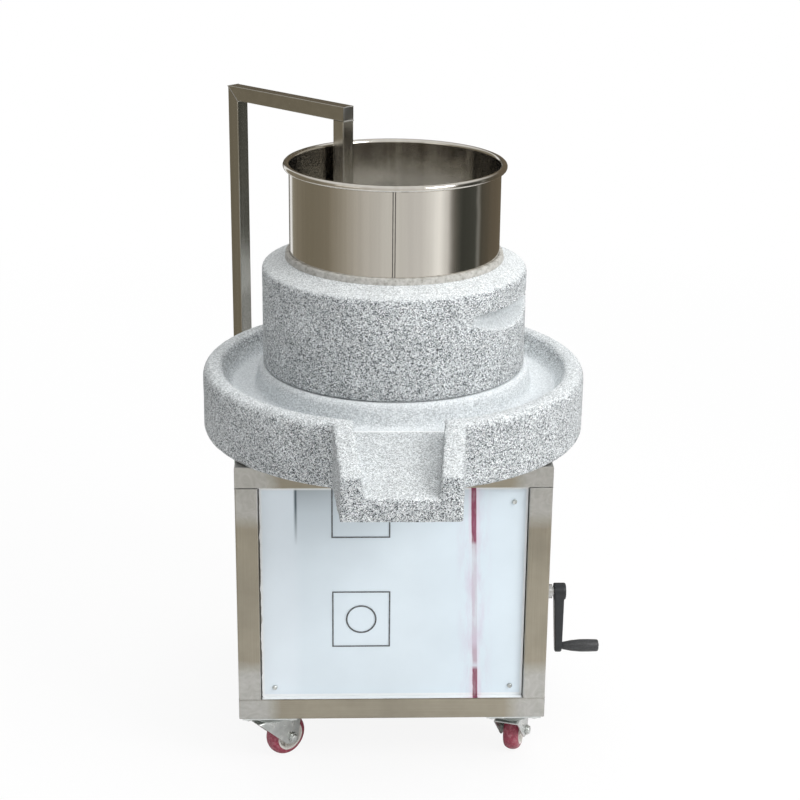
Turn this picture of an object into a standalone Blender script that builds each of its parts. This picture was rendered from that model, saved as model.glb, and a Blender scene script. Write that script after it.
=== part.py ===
"""Electric stone mill: a granite mill on a stainless square tube cabinet with four casters.

Lengths are in metres, +Z is up. The model is built round the mill axis, the vertical line through
both stones, and one empty then moves the whole mill so that its bounding box stands on the origin.
"""

import math

import bmesh
import bpy
from mathutils import Matrix, Vector

# Clearances shared by every piece
GAP = 0.0003
RUNNING_GAP = 0.0006
CUT_OVERRUN = 0.02
FACING_SHARE = 0.5

# Cabinet frame, square tube with mitred corners
CABINET_WIDTH = 0.525
CABINET_DEPTH = 0.525
CABINET_HEIGHT = 0.466
CABINET_SHIFT = -0.004
MILL_SETBACK = 0.216
TUBE_SIDE = 0.038
TUBE_WALL = 0.0015
TUBE_ROUNDING = 0.0025
BEAM_SPACING = 0.180

# Casters
CASTER_INSET = 0.052
CASTER_PLATE_SIDE = 0.094
CASTER_PLATE_THICKNESS = 0.004
CASTER_RACE_RADIUS = 0.023
CASTER_RACE_HEIGHT = 0.012
CASTER_TRAIL = 0.032
WHEEL_RADIUS = 0.0375
WHEEL_WIDTH = 0.030
WHEEL_HUB_RADIUS = 0.013
WHEEL_RIM_RADIUS = 0.027
WHEEL_WEB_WIDTH = 0.012
WHEEL_CROWN = 0.002
WHEEL_FACETS = 24
FORK_WIDTH = 0.044
FORK_WALL = 0.0025
FORK_TOP_FRONT = 0.027
FORK_TOP_BACK = 0.020
FORK_FOOT_RADIUS = 0.011
FORK_BRIDGE = 0.003
AXLE_RADIUS = 0.005
AXLE_NUT_RADIUS = 0.0075
AXLE_NUT_LENGTH = 0.007
CASTER_HEIGHT = 0.105
CASTER_HEADINGS = {"front_left": 40.0, "front_right": 72.0, "rear_left": 125.0, "rear_right": 60.0}

# Sheet panels, each folded back at its four edges
PANEL_SHEET = 0.0012
PANEL_FLANGE = 0.012
PANEL_RECESS = 0.011
PANEL_SEAM = 0.0008
FLOOR_EDGE = 0.0245
VENT_COUNT = 7
VENT_LENGTH = 0.100
VENT_WIDTH = 0.006
VENT_PITCH = 0.016
VENT_DROP = 0.110
VENT_SHIFT = 0.090

# Stone base: collecting trough, raised lower stone and spout, carved in one block
BASE_RADIUS = 0.3275
BASE_HEIGHT = 0.1107
RIM_WIDTH = 0.0325
RIM_ROUNDING = 0.005
TROUGH_DEPTH = 0.0365
TROUGH_BANK = 0.0166
TROUGH_WIDTH = 0.0414
PLATFORM_BANK = 0.005
PLATFORM_RISE = 0.003
PLATFORM_CHAMFER = 0.006
BASE_BORE_RADIUS = 0.036
SPOUT_REACH = 0.1172
SPOUT_HALF_WIDTH = 0.094
SPOUT_ROOT_HALF_WIDTH = 0.106
SPOUT_TOP_DROP = 0.037
SPOUT_ROOT_INSET = 0.022
CHUTE_SETBACK = 0.011
CHUTE_LIP_DROP = 0.0365
CHUTE_LIP_HALF_WIDTH = 0.058
CHUTE_START_HALF_WIDTH = 0.075
CHUTE_WALL_FLARE = 0.003

# Upper stone
STONE_GAP = 0.001
STONE_INSET = 0.008
UPPER_SIDE_HEIGHT = 0.172
UPPER_EDGE_ROUNDING = 0.004
SHOULDER_RISE = 0.012
SHOULDER_WIDTH = 0.040
NECK_RISE = 0.0105
HOPPER_SEAT_DEPTH = 0.010
BOWL_INSET = 0.0114
BOWL_DEPTH = 0.034
FEED_HOLE_RADIUS = 0.045
POCKET_AZIMUTH = 60.0
POCKET_START = 32.0
POCKET_HEIGHT = 0.040
POCKET_TOP = 0.134
POCKET_CEILING_SHARE = 0.40

# Hopper
HOPPER_INSET = 0.0066
HOPPER_WALL = 0.0012
HOPPER_HEIGHT = 0.162
HOPPER_BEAD_RADIUS = 0.0055

# Main shaft and drive cross
SHAFT_RADIUS = 0.014
SHAFT_FOOT_RISE = 0.030
CROSS_LENGTH = 0.130
CROSS_WIDTH = 0.026
CROSS_THICKNESS = 0.016
CROSS_HUB_RADIUS = 0.024
CROSS_HUB_DROP = 0.015
CROSS_HUB_CAP = 0.006
BUSH_LENGTH = 0.060
BUSH_INSET = 0.020

# Worm gearbox under the stones
GEARBOX_DROP = 0.047
GEARBOX_HEIGHT = 0.120
GEARBOX_HALF_DEPTH = 0.065
GEARBOX_WHEEL_SIDE = 0.060
GEARBOX_WORM_SIDE = 0.086
GEARBOX_WALL = 0.008
GEARBOX_PLATE_THICKNESS = 0.008
GEARBOX_PLATE_HALF_WIDTH = 0.100
GEARBOX_PLATE_HALF_DEPTH = 0.106
WORM_WHEEL_RADIUS = 0.040
WORM_WHEEL_TEETH = 20
WORM_WHEEL_THICKNESS = 0.016
WORM_WHEEL_HUB_RADIUS = 0.022
WORM_RADIUS = 0.015
WORM_CORE_RADIUS = 0.0105
WORM_TURNS = 3.0
WORM_PHASE = math.pi
WORM_ROOT_SHARE = 0.28
WORM_TIP_SHARE = 0.11
TOOTH_ADDENDUM = 0.0032
TOOTH_DEDENDUM = 0.0040
WORM_SHAFT_RADIUS = 0.009

# Drive motor behind the gearbox
MOTOR_RADIUS = 0.056
MOTOR_LENGTH = 0.135
MOTOR_FLANGE_RADIUS = 0.058
MOTOR_FLANGE_THICKNESS = 0.010
MOTOR_WALL = 0.012
MOTOR_FINS = 20
MOTOR_FIN_DEPTH = 0.005
FAN_COVER_LENGTH = 0.040
FAN_COVER_WALL = 0.0015
TERMINAL_BOX_SIZE = (0.032, 0.070, 0.060)

# Lift under the main shaft, worked by the crank
CRANK_RISE = 0.1363
LIFT_HOUSING_SIDE = 0.092
LIFT_HOUSING_WALL = 0.009
LIFT_HOUSING_CAP = 0.012
LIFT_HOUSING_RISE = 0.0397
LIFT_TRAVEL = 0.020
LIFT_GEAR_RADIUS = 0.024
LIFT_GEAR_TEETH = 16
LIFT_GEAR_FACE_SHARE = 0.40
LIFT_GEAR_HUB_RADIUS = 0.016
LIFT_GEAR_HUB_LENGTH = 0.026
LIFT_SCREW_RADIUS = 0.009
LIFT_SCREW_LENGTH = 0.100
THRUST_CUP_RADIUS = 0.028
THRUST_CUP_FLOOR = 0.008
THRUST_CUP_WALL = 0.004
THRUST_BEARING_HEIGHT = 0.014

# Crank outside the right side panel
CRANK_SHAFT_RADIUS = 0.008
CRANK_BOSS_RADIUS = 0.013
CRANK_BOSS_PROUD = 0.0325
CRANK_HUB_RADIUS = 0.0155
CRANK_HUB_GAP = 0.003
CRANK_HUB_LENGTH = 0.022
CRANK_ARM_LENGTH = 0.110
CRANK_ARM_THICKNESS = 0.018
CRANK_ARM_FOOT_THICKNESS = 0.013
CRANK_ARM_SINK = 0.0035
CRANK_ARM_END_RADIUS = 0.0115
CRANK_ARM_TOP_RADIUS = 0.0145
GRIP_LENGTH = 0.064
GRIP_RADIUS = 0.0115
GRIP_NECK_RADIUS = 0.0070
GRIP_PIN_RADIUS = 0.004
GRIP_PIN_LENGTH = 0.048

# Fixed arm over the hopper
ARM_SIDE = 0.025
ARM_WALL = 0.0012
ARM_ROUNDING = 0.0015
ARM_RISE = 0.0682
ARM_LAP = 0.241
ARM_DROP_CLEARANCE = 0.0354
ARM_YAW = -45.0
ARM_DROP_DEPTH = 0.1178

# Control box on the left side panel
CONTROL_WIDTH = 0.110
CONTROL_HEIGHT = 0.070
CONTROL_DEPTH = 0.022
CONTROL_WALL = 0.002
CONTROL_SETBACK = 0.386
CONTROL_DROP = 0.131
BUTTON_RADIUS = 0.011
BUTTON_SPACING = 0.048
BUTTON_PROUD = 0.008
BUTTON_LENGTH = 0.018
BUTTON_HEAD_RADIUS = 0.013

# Power cable gland in the rear panel
GLAND_RADIUS = 0.011
GLAND_BORE_RADIUS = 0.005
GLAND_LENGTH = 0.030
GLAND_INSET = 0.0965
GLAND_RISE = 0.095

# Smoothness of round pieces
STONE_STEPS = 64
HOPPER_STEPS = 48
ROUND_STEPS = 24
SMALL_STEPS = 16

# Levels and places that follow from the sizes above
FRAME_TOP = CASTER_HEIGHT + CABINET_HEIGHT
FRONT_Y = -MILL_SETBACK
REAR_Y = FRONT_Y + CABINET_DEPTH
LEFT_X = CABINET_SHIFT - CABINET_WIDTH / 2
RIGHT_X = CABINET_SHIFT + CABINET_WIDTH / 2
BASE_BOTTOM = FRAME_TOP + GAP
RIM_TOP = BASE_BOTTOM + BASE_HEIGHT
RIM_INNER_RADIUS = BASE_RADIUS - RIM_WIDTH
TROUGH_OUTER_RADIUS = RIM_INNER_RADIUS - TROUGH_BANK
PLATFORM_FOOT_RADIUS = TROUGH_OUTER_RADIUS - TROUGH_WIDTH
PLATFORM_TOP_RADIUS = PLATFORM_FOOT_RADIUS - PLATFORM_BANK
CHUTE_START_RADIUS = PLATFORM_FOOT_RADIUS + CHUTE_SETBACK
UPPER_RADIUS = PLATFORM_TOP_RADIUS - STONE_INSET
NECK_RADIUS = UPPER_RADIUS - SHOULDER_WIDTH
HOPPER_RADIUS = NECK_RADIUS - HOPPER_INSET
BOWL_RADIUS = HOPPER_RADIUS - BOWL_INSET
TROUGH_FLOOR = RIM_TOP - TROUGH_DEPTH
PLATFORM_TOP = RIM_TOP + PLATFORM_RISE
UPPER_BOTTOM = PLATFORM_TOP + STONE_GAP
UPPER_EDGE = UPPER_BOTTOM + UPPER_SIDE_HEIGHT
NECK_FOOT = UPPER_EDGE + SHOULDER_RISE
NECK_TOP = NECK_FOOT + NECK_RISE
HOPPER_BOTTOM = NECK_TOP - HOPPER_SEAT_DEPTH + GAP
HOPPER_TOP = HOPPER_BOTTOM + HOPPER_HEIGHT
GEARBOX_TOP = FRAME_TOP - GEARBOX_DROP
GEARBOX_CENTRE = GEARBOX_TOP - GEARBOX_HEIGHT / 2
WORM_X = -(WORM_WHEEL_RADIUS + WORM_RADIUS)
WORM_PITCH = 2 * math.pi * WORM_WHEEL_RADIUS / WORM_WHEEL_TEETH
FLOOR_TOP = CASTER_HEIGHT + TUBE_SIDE + GAP
FLOOR_SHEET_TOP = FLOOR_TOP + PANEL_SHEET
SHAFT_TOP = UPPER_BOTTOM + CROSS_THICKNESS - CROSS_HUB_CAP
CRANK_HEIGHT = CASTER_HEIGHT + CRANK_RISE
LIFT_HOUSING_TOP = CRANK_HEIGHT + LIFT_HOUSING_RISE
SHAFT_FOOT_HEIGHT = LIFT_HOUSING_TOP + SHAFT_FOOT_RISE
CRANK_BOSS_REACH = RIGHT_X + CRANK_BOSS_PROUD
CRANK_HUB_START = CRANK_BOSS_REACH + CRANK_HUB_GAP
CRANK_GRIP_END = CRANK_HUB_START + CRANK_HUB_LENGTH + GRIP_LENGTH
SPOUT_FRONT = BASE_RADIUS + SPOUT_REACH
ARM_CORNER_OFFSET = (ARM_SIDE / 2 + GAP) / math.sqrt(2)
ARM_X = LEFT_X - ARM_CORNER_OFFSET
ARM_Y = REAR_Y + ARM_CORNER_OFFSET
ARM_TOP = HOPPER_TOP + ARM_RISE
ARM_FOOT = FRAME_TOP - ARM_LAP
ARM_DROP_FOOT = HOPPER_TOP - ARM_DROP_DEPTH
ARM_FORWARD = Vector((math.cos(math.radians(ARM_YAW)), math.sin(math.radians(ARM_YAW))))
ARM_PASSING = ARM_X * ARM_FORWARD.y - ARM_Y * ARM_FORWARD.x
ARM_DROP_RADIUS = HOPPER_RADIUS - ARM_DROP_CLEARANCE
ARM_REACH = -ARM_FORWARD.dot((ARM_X, ARM_Y)) - math.sqrt(ARM_DROP_RADIUS ** 2 - ARM_PASSING ** 2)
CONTROL_CENTRE_Y = FRONT_Y + CONTROL_SETBACK
CONTROL_CENTRE_Z = FRAME_TOP - CONTROL_DROP
GLAND_X = LEFT_X + GLAND_INSET
GLAND_Z = CASTER_HEIGHT + GLAND_RISE
ARM_BACK = ARM_Y + ARM_SIDE / math.sqrt(2) - ARM_ROUNDING * (math.sqrt(2) - 1)
MILL_AXIS_X = (BASE_RADIUS - CRANK_GRIP_END) / 2
MILL_AXIS_Y = (SPOUT_FRONT - ARM_BACK) / 2


def clear_scene():
    for old in list(bpy.data.objects):
        bpy.data.objects.remove(old, do_unlink=True)


def new_collection(name):
    group = bpy.data.collections.new(name)
    bpy.context.scene.collection.children.link(group)
    return group


def new_material(name, colour, roughness, metallic):
    """A plain Principled material in the colour of the real surface."""
    made = bpy.data.materials.new(name)
    made.use_nodes = True
    shader = made.node_tree.nodes["Principled BSDF"]
    shader.inputs["Base Color"].default_value = (*colour, 1.0)
    shader.inputs["Roughness"].default_value = roughness
    shader.inputs["Metallic"].default_value = metallic
    made.diffuse_color = (*colour, 1.0)
    return made


def object_of(name, bm, finish, parent=None, place=(0, 0, 0), group=None):
    """Turn a bmesh that is drawn round its own origin into a named object at its place."""
    mesh = bpy.data.meshes.new(name)
    bm.to_mesh(mesh)
    bm.free()
    made = bpy.data.objects.new(name, mesh)
    made.location = place
    (group or MILL).objects.link(made)
    made.parent = parent or AXIS
    if finish:
        mesh.materials.append(finish)
    return made


def as_cutter(made):
    """Keep a helper solid out of the model, in its own collection."""
    for group in list(made.users_collection):
        group.objects.unlink(made)
    CUTTERS.objects.link(made)
    made.hide_render = True
    made.display_type = "WIRE"
    return made


def boolean(target, other, operation="DIFFERENCE"):
    """Cut or join one solid with another that stays in the cutters' collection."""
    as_cutter(other)
    step = target.modifiers.new(other.name, "BOOLEAN")
    step.operation = operation
    step.object = other
    return target


def round_shading(made, angle=35.0):
    mesh = made.data
    mesh.shade_smooth()
    mesh.set_sharp_from_angle(angle=math.radians(angle))
    return made


def block(name, size, centre, finish, parent=None):
    """A rectangular block, whose object stands at its centre."""
    bm = bmesh.new()
    bmesh.ops.create_cube(bm, size=1, matrix=Matrix.Diagonal((*size, 1)))
    return object_of(name, bm, finish, parent, centre)


def solid_between(name, low_face, high_face, finish, parent=None):
    """A block whose lower and upper faces are four corners each, counted the same way round."""
    bm = bmesh.new()
    bmesh.ops.create_cube(bm, size=2)
    corners = {(-1, -1): 0, (1, -1): 1, (1, 1): 2, (-1, 1): 3}
    for vert in bm.verts:
        face = low_face if vert.co.z < 0 else high_face
        vert.co = face[corners[(round(vert.co.x), round(vert.co.y))]]
    return object_of(name, bm, finish, parent)


def cylinder(name, radius, length, axis, centre, finish, parent=None, steps=ROUND_STEPS):
    """A round bar along a row axis."""
    bm = bmesh.new()
    bmesh.ops.create_cone(bm, cap_ends=True, segments=steps, radius1=radius, radius2=radius, depth=length)
    turn = Vector((0, 0, 1)).rotation_difference(Vector(axis)).to_matrix()
    bmesh.ops.rotate(bm, verts=bm.verts, matrix=turn)
    return round_shading(object_of(name, bm, finish, parent, centre))


def turned(name, profile, steps, finish, parent=None, place=(0, 0, 0), axis=(0, 0, 1), phase=0.0):
    """A turned piece: the profile, from top to bottom on its outer side, goes once round the axis."""
    bm = bmesh.new()
    points = [bm.verts.new((radius, 0, height)) for radius, height in profile]
    for first, second in zip(points, points[1:]):
        bm.edges.new((first, second))
    if profile[0][0] > 0:
        bm.edges.new((points[-1], points[0]))
    bmesh.ops.rotate(bm, verts=bm.verts, matrix=Matrix.Rotation(phase, 3, "Z"))
    made = object_of(name, bm, finish, parent, place)
    made.rotation_euler = Vector((0, 0, 1)).rotation_difference(Vector(axis)).to_euler()
    screw = made.modifiers.new("Turn", "SCREW")
    screw.steps = steps
    screw.render_steps = steps
    screw.use_merge_vertices = True
    screw.merge_threshold = 0.00001
    screw.use_smooth_shade = False
    return made


def arc(centre_radius, centre_height, radius, start, end, count):
    """Points of a profile along an arc, with angles in degrees from +X towards +Z."""
    points = []
    for index in range(count + 1):
        angle = math.radians(start + (end - start) * index / count)
        points.append((centre_radius + radius * math.cos(angle), centre_height + radius * math.sin(angle)))
    return points


def tube_outline(side, rounding):
    """A square with rounded corners, as (u, v) points."""
    flat = side / 2 - rounding
    points = []
    for corner in range(4):
        across = flat if corner in (0, 3) else -flat
        up = flat if corner in (0, 1) else -flat
        points += arc(across, up, rounding, 90 * corner, 90 * corner + 90, 2)
    return points


def square_tube(name, start, end, inward, finish, side, wall, rounding, mitres=(0, 0)):
    """A hollow square tube. inward points to the side that its mitred ends cut shorter."""
    start, end = Vector(start), Vector(end)
    along = (end - start).normalized()
    inward = Vector(inward).normalized()
    across = along.cross(inward)
    rings = []
    bm = bmesh.new()
    for edge, sign, mitre in ((start, 1, mitres[0]), (end, -1, mitres[1])):
        for ring_side, ring_rounding in ((side, rounding), (side - 2 * wall, rounding / 2)):
            ring = []
            for u, v in tube_outline(ring_side, ring_rounding):
                slide = along * sign * (v * mitre + GAP)
                ring.append(bm.verts.new(edge + across * u + inward * v + slide))
            rings.append(ring)
    start_outer, start_inner, end_outer, end_inner = rings
    for first, second in ((start_outer, end_outer), (end_inner, start_inner),
                          (start_inner, start_outer), (end_outer, end_inner)):
        for index in range(len(first)):
            after = (index + 1) % len(first)
            bm.faces.new((first[index], first[after], second[after], second[index]))
    bmesh.ops.recalc_face_normals(bm, faces=bm.faces)
    return round_shading(object_of(name, bm, finish))


def gear_outline(radius, teeth, half_share, addendum=TOOTH_ADDENDUM, dedendum=TOOTH_DEDENDUM, phase=0.0):
    """Points round a gear: each tooth is a trapezium that narrows from its root to its tip."""
    points = []
    step = 2 * math.pi / teeth
    for tooth in range(teeth):
        middle = tooth * step + phase
        for share, distance in ((-1.5, -dedendum), (-0.7, addendum), (0.7, addendum), (1.5, -dedendum)):
            angle = middle + share * half_share * step
            points.append(((radius + distance) * math.cos(angle), (radius + distance) * math.sin(angle)))
    return points


def gear(name, outline, levels, finish, parent=None, place=(0, 0, 0)):
    """A toothed solid: the outline at each (height, scale, turn) level, closed at both ends."""
    bm = bmesh.new()
    rings = []
    for height, scale, turn in levels:
        spin = Matrix.Rotation(turn, 3, "Z")
        rings.append([bm.verts.new(spin @ Vector((x * scale, y * scale, height))) for x, y in outline])
    for lower, upper in zip(rings, rings[1:]):
        for index in range(len(lower)):
            after = (index + 1) % len(lower)
            bm.faces.new((lower[index], lower[after], upper[after], upper[index]))
    bm.faces.new(rings[0])
    bm.faces.new(rings[-1])
    bmesh.ops.recalc_face_normals(bm, faces=bm.faces)
    return object_of(name, bm, finish, parent, place)


def build_frame():
    """Twelve tubes: a mitred ring at the top, a mitred ring at the bottom, and a post in each corner."""
    half = TUBE_SIDE / 2
    left, right = LEFT_X + half, RIGHT_X - half
    front, rear = FRONT_Y + half, REAR_Y - half
    sizes = (STEEL, TUBE_SIDE, TUBE_WALL, TUBE_ROUNDING)
    for level, z in (("top", FRAME_TOP - half), ("bottom", CASTER_HEIGHT + half)):
        ring = (
            ("front", (left, front), (right, front), (0, 1, 0)),
            ("rear", (left, rear), (right, rear), (0, -1, 0)),
            ("left", (left, front), (left, rear), (1, 0, 0)),
            ("right", (right, front), (right, rear), (-1, 0, 0)),
        )
        for place, start, end, inward in ring:
            square_tube(f"{level}_rail_{place}", (*start, z), (*end, z), inward, *sizes, mitres=(1, 1))
    low, high = CASTER_HEIGHT + TUBE_SIDE, FRAME_TOP - TUBE_SIDE
    corners = {"front_left": (left, front), "front_right": (right, front),
               "rear_left": (left, rear), "rear_right": (right, rear)}
    for place, (x, y) in corners.items():
        square_tube(f"post_{place}", (x, y, low), (x, y, high), (1, 0, 0), *sizes)


def build_beams():
    """Two beams under the stone carry it and the gearbox, one beam under the floor carries the lift."""
    half = TUBE_SIDE / 2
    sizes = (STEEL, TUBE_SIDE, TUBE_WALL, TUBE_ROUNDING)
    for place, y in (("front", -BEAM_SPACING / 2), ("rear", BEAM_SPACING / 2)):
        ends = [(x, y, FRAME_TOP - half) for x in (LEFT_X + TUBE_SIDE, RIGHT_X - TUBE_SIDE)]
        square_tube(f"stone_beam_{place}", *ends, (0, 1, 0), *sizes)
    ends = [(0, y, CASTER_HEIGHT + half) for y in (FRONT_Y + TUBE_SIDE, REAR_Y - TUBE_SIDE)]
    square_tube("lift_beam", *ends, (1, 0, 0), *sizes)


def folded_panel(name, width, height, centre, outward):
    """A sheet with its four edges folded back away from the outward side."""
    bm = bmesh.new()
    bmesh.ops.create_cube(bm, size=1, matrix=Matrix.Diagonal((width, height, PANEL_FLANGE, 1)))
    back = [face for face in bm.faces if face.normal.z < -FACING_SHARE]
    bmesh.ops.delete(bm, geom=back, context="FACES_ONLY")
    outward = Vector(outward)
    side = Vector((0, 0, 1)).cross(outward)
    turn = Matrix((side, Vector((0, 0, 1)), outward)).transposed()
    bmesh.ops.rotate(bm, verts=bm.verts, matrix=turn)
    made = object_of(name, bm, PANEL, place=Vector(centre) - outward * PANEL_FLANGE / 2)
    sheet = made.modifiers.new("Sheet", "SOLIDIFY")
    sheet.thickness = PANEL_SHEET
    sheet.offset = -1
    sheet.use_even_offset = True
    return made


def build_panels():
    """Folded sheets between the tubes on four sides, and a flat sheet laid on the bottom ring."""
    width = CABINET_WIDTH - 2 * TUBE_SIDE - 2 * PANEL_SEAM
    depth = CABINET_DEPTH - 2 * TUBE_SIDE - 2 * PANEL_SEAM
    height = CABINET_HEIGHT - 2 * TUBE_SIDE - 2 * PANEL_SEAM
    middle_y = (FRONT_Y + REAR_Y) / 2
    middle_z = CASTER_HEIGHT + CABINET_HEIGHT / 2
    folded_panel("front_panel", width, height, (CABINET_SHIFT, FRONT_Y + PANEL_RECESS, middle_z), (0, -1, 0))
    rear = folded_panel("rear_panel", width, height, (CABINET_SHIFT, REAR_Y - PANEL_RECESS, middle_z), (0, 1, 0))
    left = folded_panel("left_panel", depth, height, (LEFT_X + PANEL_RECESS, middle_y, middle_z), (-1, 0, 0))
    right = folded_panel("right_panel", depth, height, (RIGHT_X - PANEL_RECESS, middle_y, middle_z), (1, 0, 0))
    for index in range(VENT_COUNT):
        z = FRAME_TOP - VENT_DROP - index * VENT_PITCH
        size = (VENT_LENGTH, CUT_OVERRUN, VENT_WIDTH)
        boolean(rear, block(f"vent_{index}", size, (VENT_SHIFT, REAR_Y - PANEL_RECESS, z), None))
    hole = cylinder("gland_hole", GLAND_BORE_RADIUS + GAP, CUT_OVERRUN, (0, 1, 0),
                    (GLAND_X, REAR_Y - PANEL_RECESS, GLAND_Z), None)
    boolean(rear, hole)
    hole = cylinder("crank_hole", CRANK_SHAFT_RADIUS + RUNNING_GAP, CUT_OVERRUN, (1, 0, 0),
                    (RIGHT_X - PANEL_RECESS, 0, CRANK_HEIGHT), None)
    boolean(right, hole)
    hole = block("wiring_hole", (CUT_OVERRUN, CONTROL_HEIGHT / 2, CONTROL_HEIGHT / 2),
                 (LEFT_X + PANEL_RECESS, CONTROL_CENTRE_Y, CONTROL_CENTRE_Z), None)
    boolean(left, hole)
    floor_centre = (CABINET_SHIFT, middle_y, FLOOR_TOP + PANEL_SHEET / 2)
    floor = block("floor_sheet", (CABINET_WIDTH - 2 * FLOOR_EDGE, depth, PANEL_SHEET), floor_centre, STEEL)
    wing = block("floor_wing", (width, CABINET_DEPTH - 2 * FLOOR_EDGE, PANEL_SHEET), floor_centre, STEEL)
    boolean(floor, wing, "UNION")


def build_stone_base():
    """Trough, raised lower stone and spout in one block, with a bore for the main shaft."""
    rim_middle = BASE_RADIUS - RIM_ROUNDING
    profile = [(BASE_BORE_RADIUS, PLATFORM_TOP)]
    profile += [(PLATFORM_TOP_RADIUS - PLATFORM_CHAMFER, PLATFORM_TOP)]
    profile += [(PLATFORM_TOP_RADIUS, PLATFORM_TOP - PLATFORM_CHAMFER)]
    profile += [(PLATFORM_FOOT_RADIUS, TROUGH_FLOOR)]
    profile += [(TROUGH_OUTER_RADIUS, TROUGH_FLOOR)]
    profile += arc(RIM_INNER_RADIUS + RIM_ROUNDING, RIM_TOP - RIM_ROUNDING, RIM_ROUNDING, 160, 90, 2)
    profile += arc(rim_middle, RIM_TOP - RIM_ROUNDING, RIM_ROUNDING, 90, 0, 2)
    profile += [(BASE_RADIUS, BASE_BOTTOM), (BASE_BORE_RADIUS, BASE_BOTTOM)]
    base = turned("stone_base", profile, STONE_STEPS, STONE)
    root = -(BASE_RADIUS - SPOUT_ROOT_INSET)
    top = RIM_TOP
    front_top = top - SPOUT_TOP_DROP
    low = [(-SPOUT_HALF_WIDTH, -SPOUT_FRONT, BASE_BOTTOM), (SPOUT_HALF_WIDTH, -SPOUT_FRONT, BASE_BOTTOM),
           (SPOUT_ROOT_HALF_WIDTH, root, BASE_BOTTOM), (-SPOUT_ROOT_HALF_WIDTH, root, BASE_BOTTOM)]
    high = [(-SPOUT_HALF_WIDTH, -SPOUT_FRONT, front_top), (SPOUT_HALF_WIDTH, -SPOUT_FRONT, front_top),
            (SPOUT_ROOT_HALF_WIDTH, root, top), (-SPOUT_ROOT_HALF_WIDTH, root, top)]
    boolean(base, solid_between("spout_block", low, high, STONE), "UNION")
    lip = TROUGH_FLOOR - CHUTE_LIP_DROP
    fall = CHUTE_LIP_DROP / (SPOUT_FRONT - CHUTE_START_RADIUS)
    narrowing = (CHUTE_START_HALF_WIDTH - CHUTE_LIP_HALF_WIDTH) / (SPOUT_FRONT - CHUTE_START_RADIUS)
    outside = SPOUT_FRONT + CUT_OVERRUN
    low_front, half_front = lip - fall * CUT_OVERRUN, CHUTE_LIP_HALF_WIDTH - narrowing * CUT_OVERRUN
    start, half_start = CHUTE_START_RADIUS, CHUTE_START_HALF_WIDTH
    above = RIM_TOP + CUT_OVERRUN
    flare = CHUTE_WALL_FLARE
    low = [(-half_front, -outside, low_front), (half_front, -outside, low_front),
           (half_start, -start, TROUGH_FLOOR), (-half_start, -start, TROUGH_FLOOR)]
    high = [(-half_front - flare, -outside, above), (half_front + flare, -outside, above),
            (half_start + flare, -start, above), (-half_start - flare, -start, above)]
    boolean(base, solid_between("chute_cutter", low, high, None))


def pocket_cutter(name, azimuth):
    """A prism cut on a chord: level ceiling, upright back wall, and a floor that falls outwards."""
    half_angle = math.radians(POCKET_AZIMUTH - POCKET_START)
    chord = UPPER_RADIUS * math.cos(half_angle)
    half_length = UPPER_RADIUS * math.sin(half_angle) + CUT_OVERRUN
    outer = UPPER_RADIUS + CUT_OVERRUN
    top = UPPER_BOTTOM + POCKET_TOP
    sill = top - POCKET_HEIGHT * POCKET_CEILING_SHARE
    fall = (POCKET_HEIGHT - (top - sill)) / (UPPER_RADIUS - chord)
    low_outer = sill - fall * (outer - chord)
    low = [(chord, -half_length, sill), (outer, -half_length, low_outer),
           (outer, half_length, low_outer), (chord, half_length, sill)]
    high = [(chord, -half_length, top), (outer, -half_length, top),
            (outer, half_length, top), (chord, half_length, top)]
    cutter = solid_between(name, low, high, None)
    cutter.rotation_euler.z = math.radians(azimuth - 90)
    return cutter


def build_upper_stone():
    """The turning stone, with a bowl under the hopper, a feed hole, hand pockets and a slot for the cross."""
    edge = UPPER_EDGE_ROUNDING
    seat = HOPPER_RADIUS + RUNNING_GAP
    profile = [(FEED_HOLE_RADIUS, NECK_TOP - BOWL_DEPTH)]
    profile += [(BOWL_RADIUS, HOPPER_BOTTOM - GAP), (seat, HOPPER_BOTTOM - GAP), (seat, NECK_TOP)]
    profile += [(NECK_RADIUS, NECK_TOP), (NECK_RADIUS, NECK_FOOT)]
    profile += arc(UPPER_RADIUS - edge, UPPER_EDGE - edge, edge, 80, 0, 2)
    profile += [(UPPER_RADIUS, UPPER_BOTTOM), (FEED_HOLE_RADIUS, UPPER_BOTTOM)]
    stone = turned("upper_stone", profile, STONE_STEPS, STONE)
    boolean(stone, pocket_cutter("pocket_cutter_front", POCKET_AZIMUTH))
    boolean(stone, pocket_cutter("pocket_cutter_back", POCKET_AZIMUTH + 180))
    slot = (CROSS_LENGTH + 2 * GAP, CROSS_WIDTH + 2 * GAP, 2 * (CROSS_THICKNESS + GAP))
    boolean(stone, block("cross_slot", slot, (0, 0, UPPER_BOTTOM), None))


def build_hopper():
    """A rolled stainless cylinder with a wired bead round its mouth, set in the stone's neck."""
    inner = HOPPER_RADIUS - HOPPER_WALL
    bead_centre = HOPPER_RADIUS + HOPPER_BEAD_RADIUS - HOPPER_WALL
    bead_height = HOPPER_TOP - HOPPER_BEAD_RADIUS
    profile = [(inner, bead_height)]
    profile += arc(bead_centre, bead_height, HOPPER_BEAD_RADIUS, 135, -135, 6)
    profile += [(HOPPER_RADIUS, bead_height - 2 * HOPPER_BEAD_RADIUS), (HOPPER_RADIUS, HOPPER_BOTTOM)]
    profile += [(inner, HOPPER_BOTTOM)]
    turned("hopper", profile, HOPPER_STEPS, POLISHED)


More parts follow.
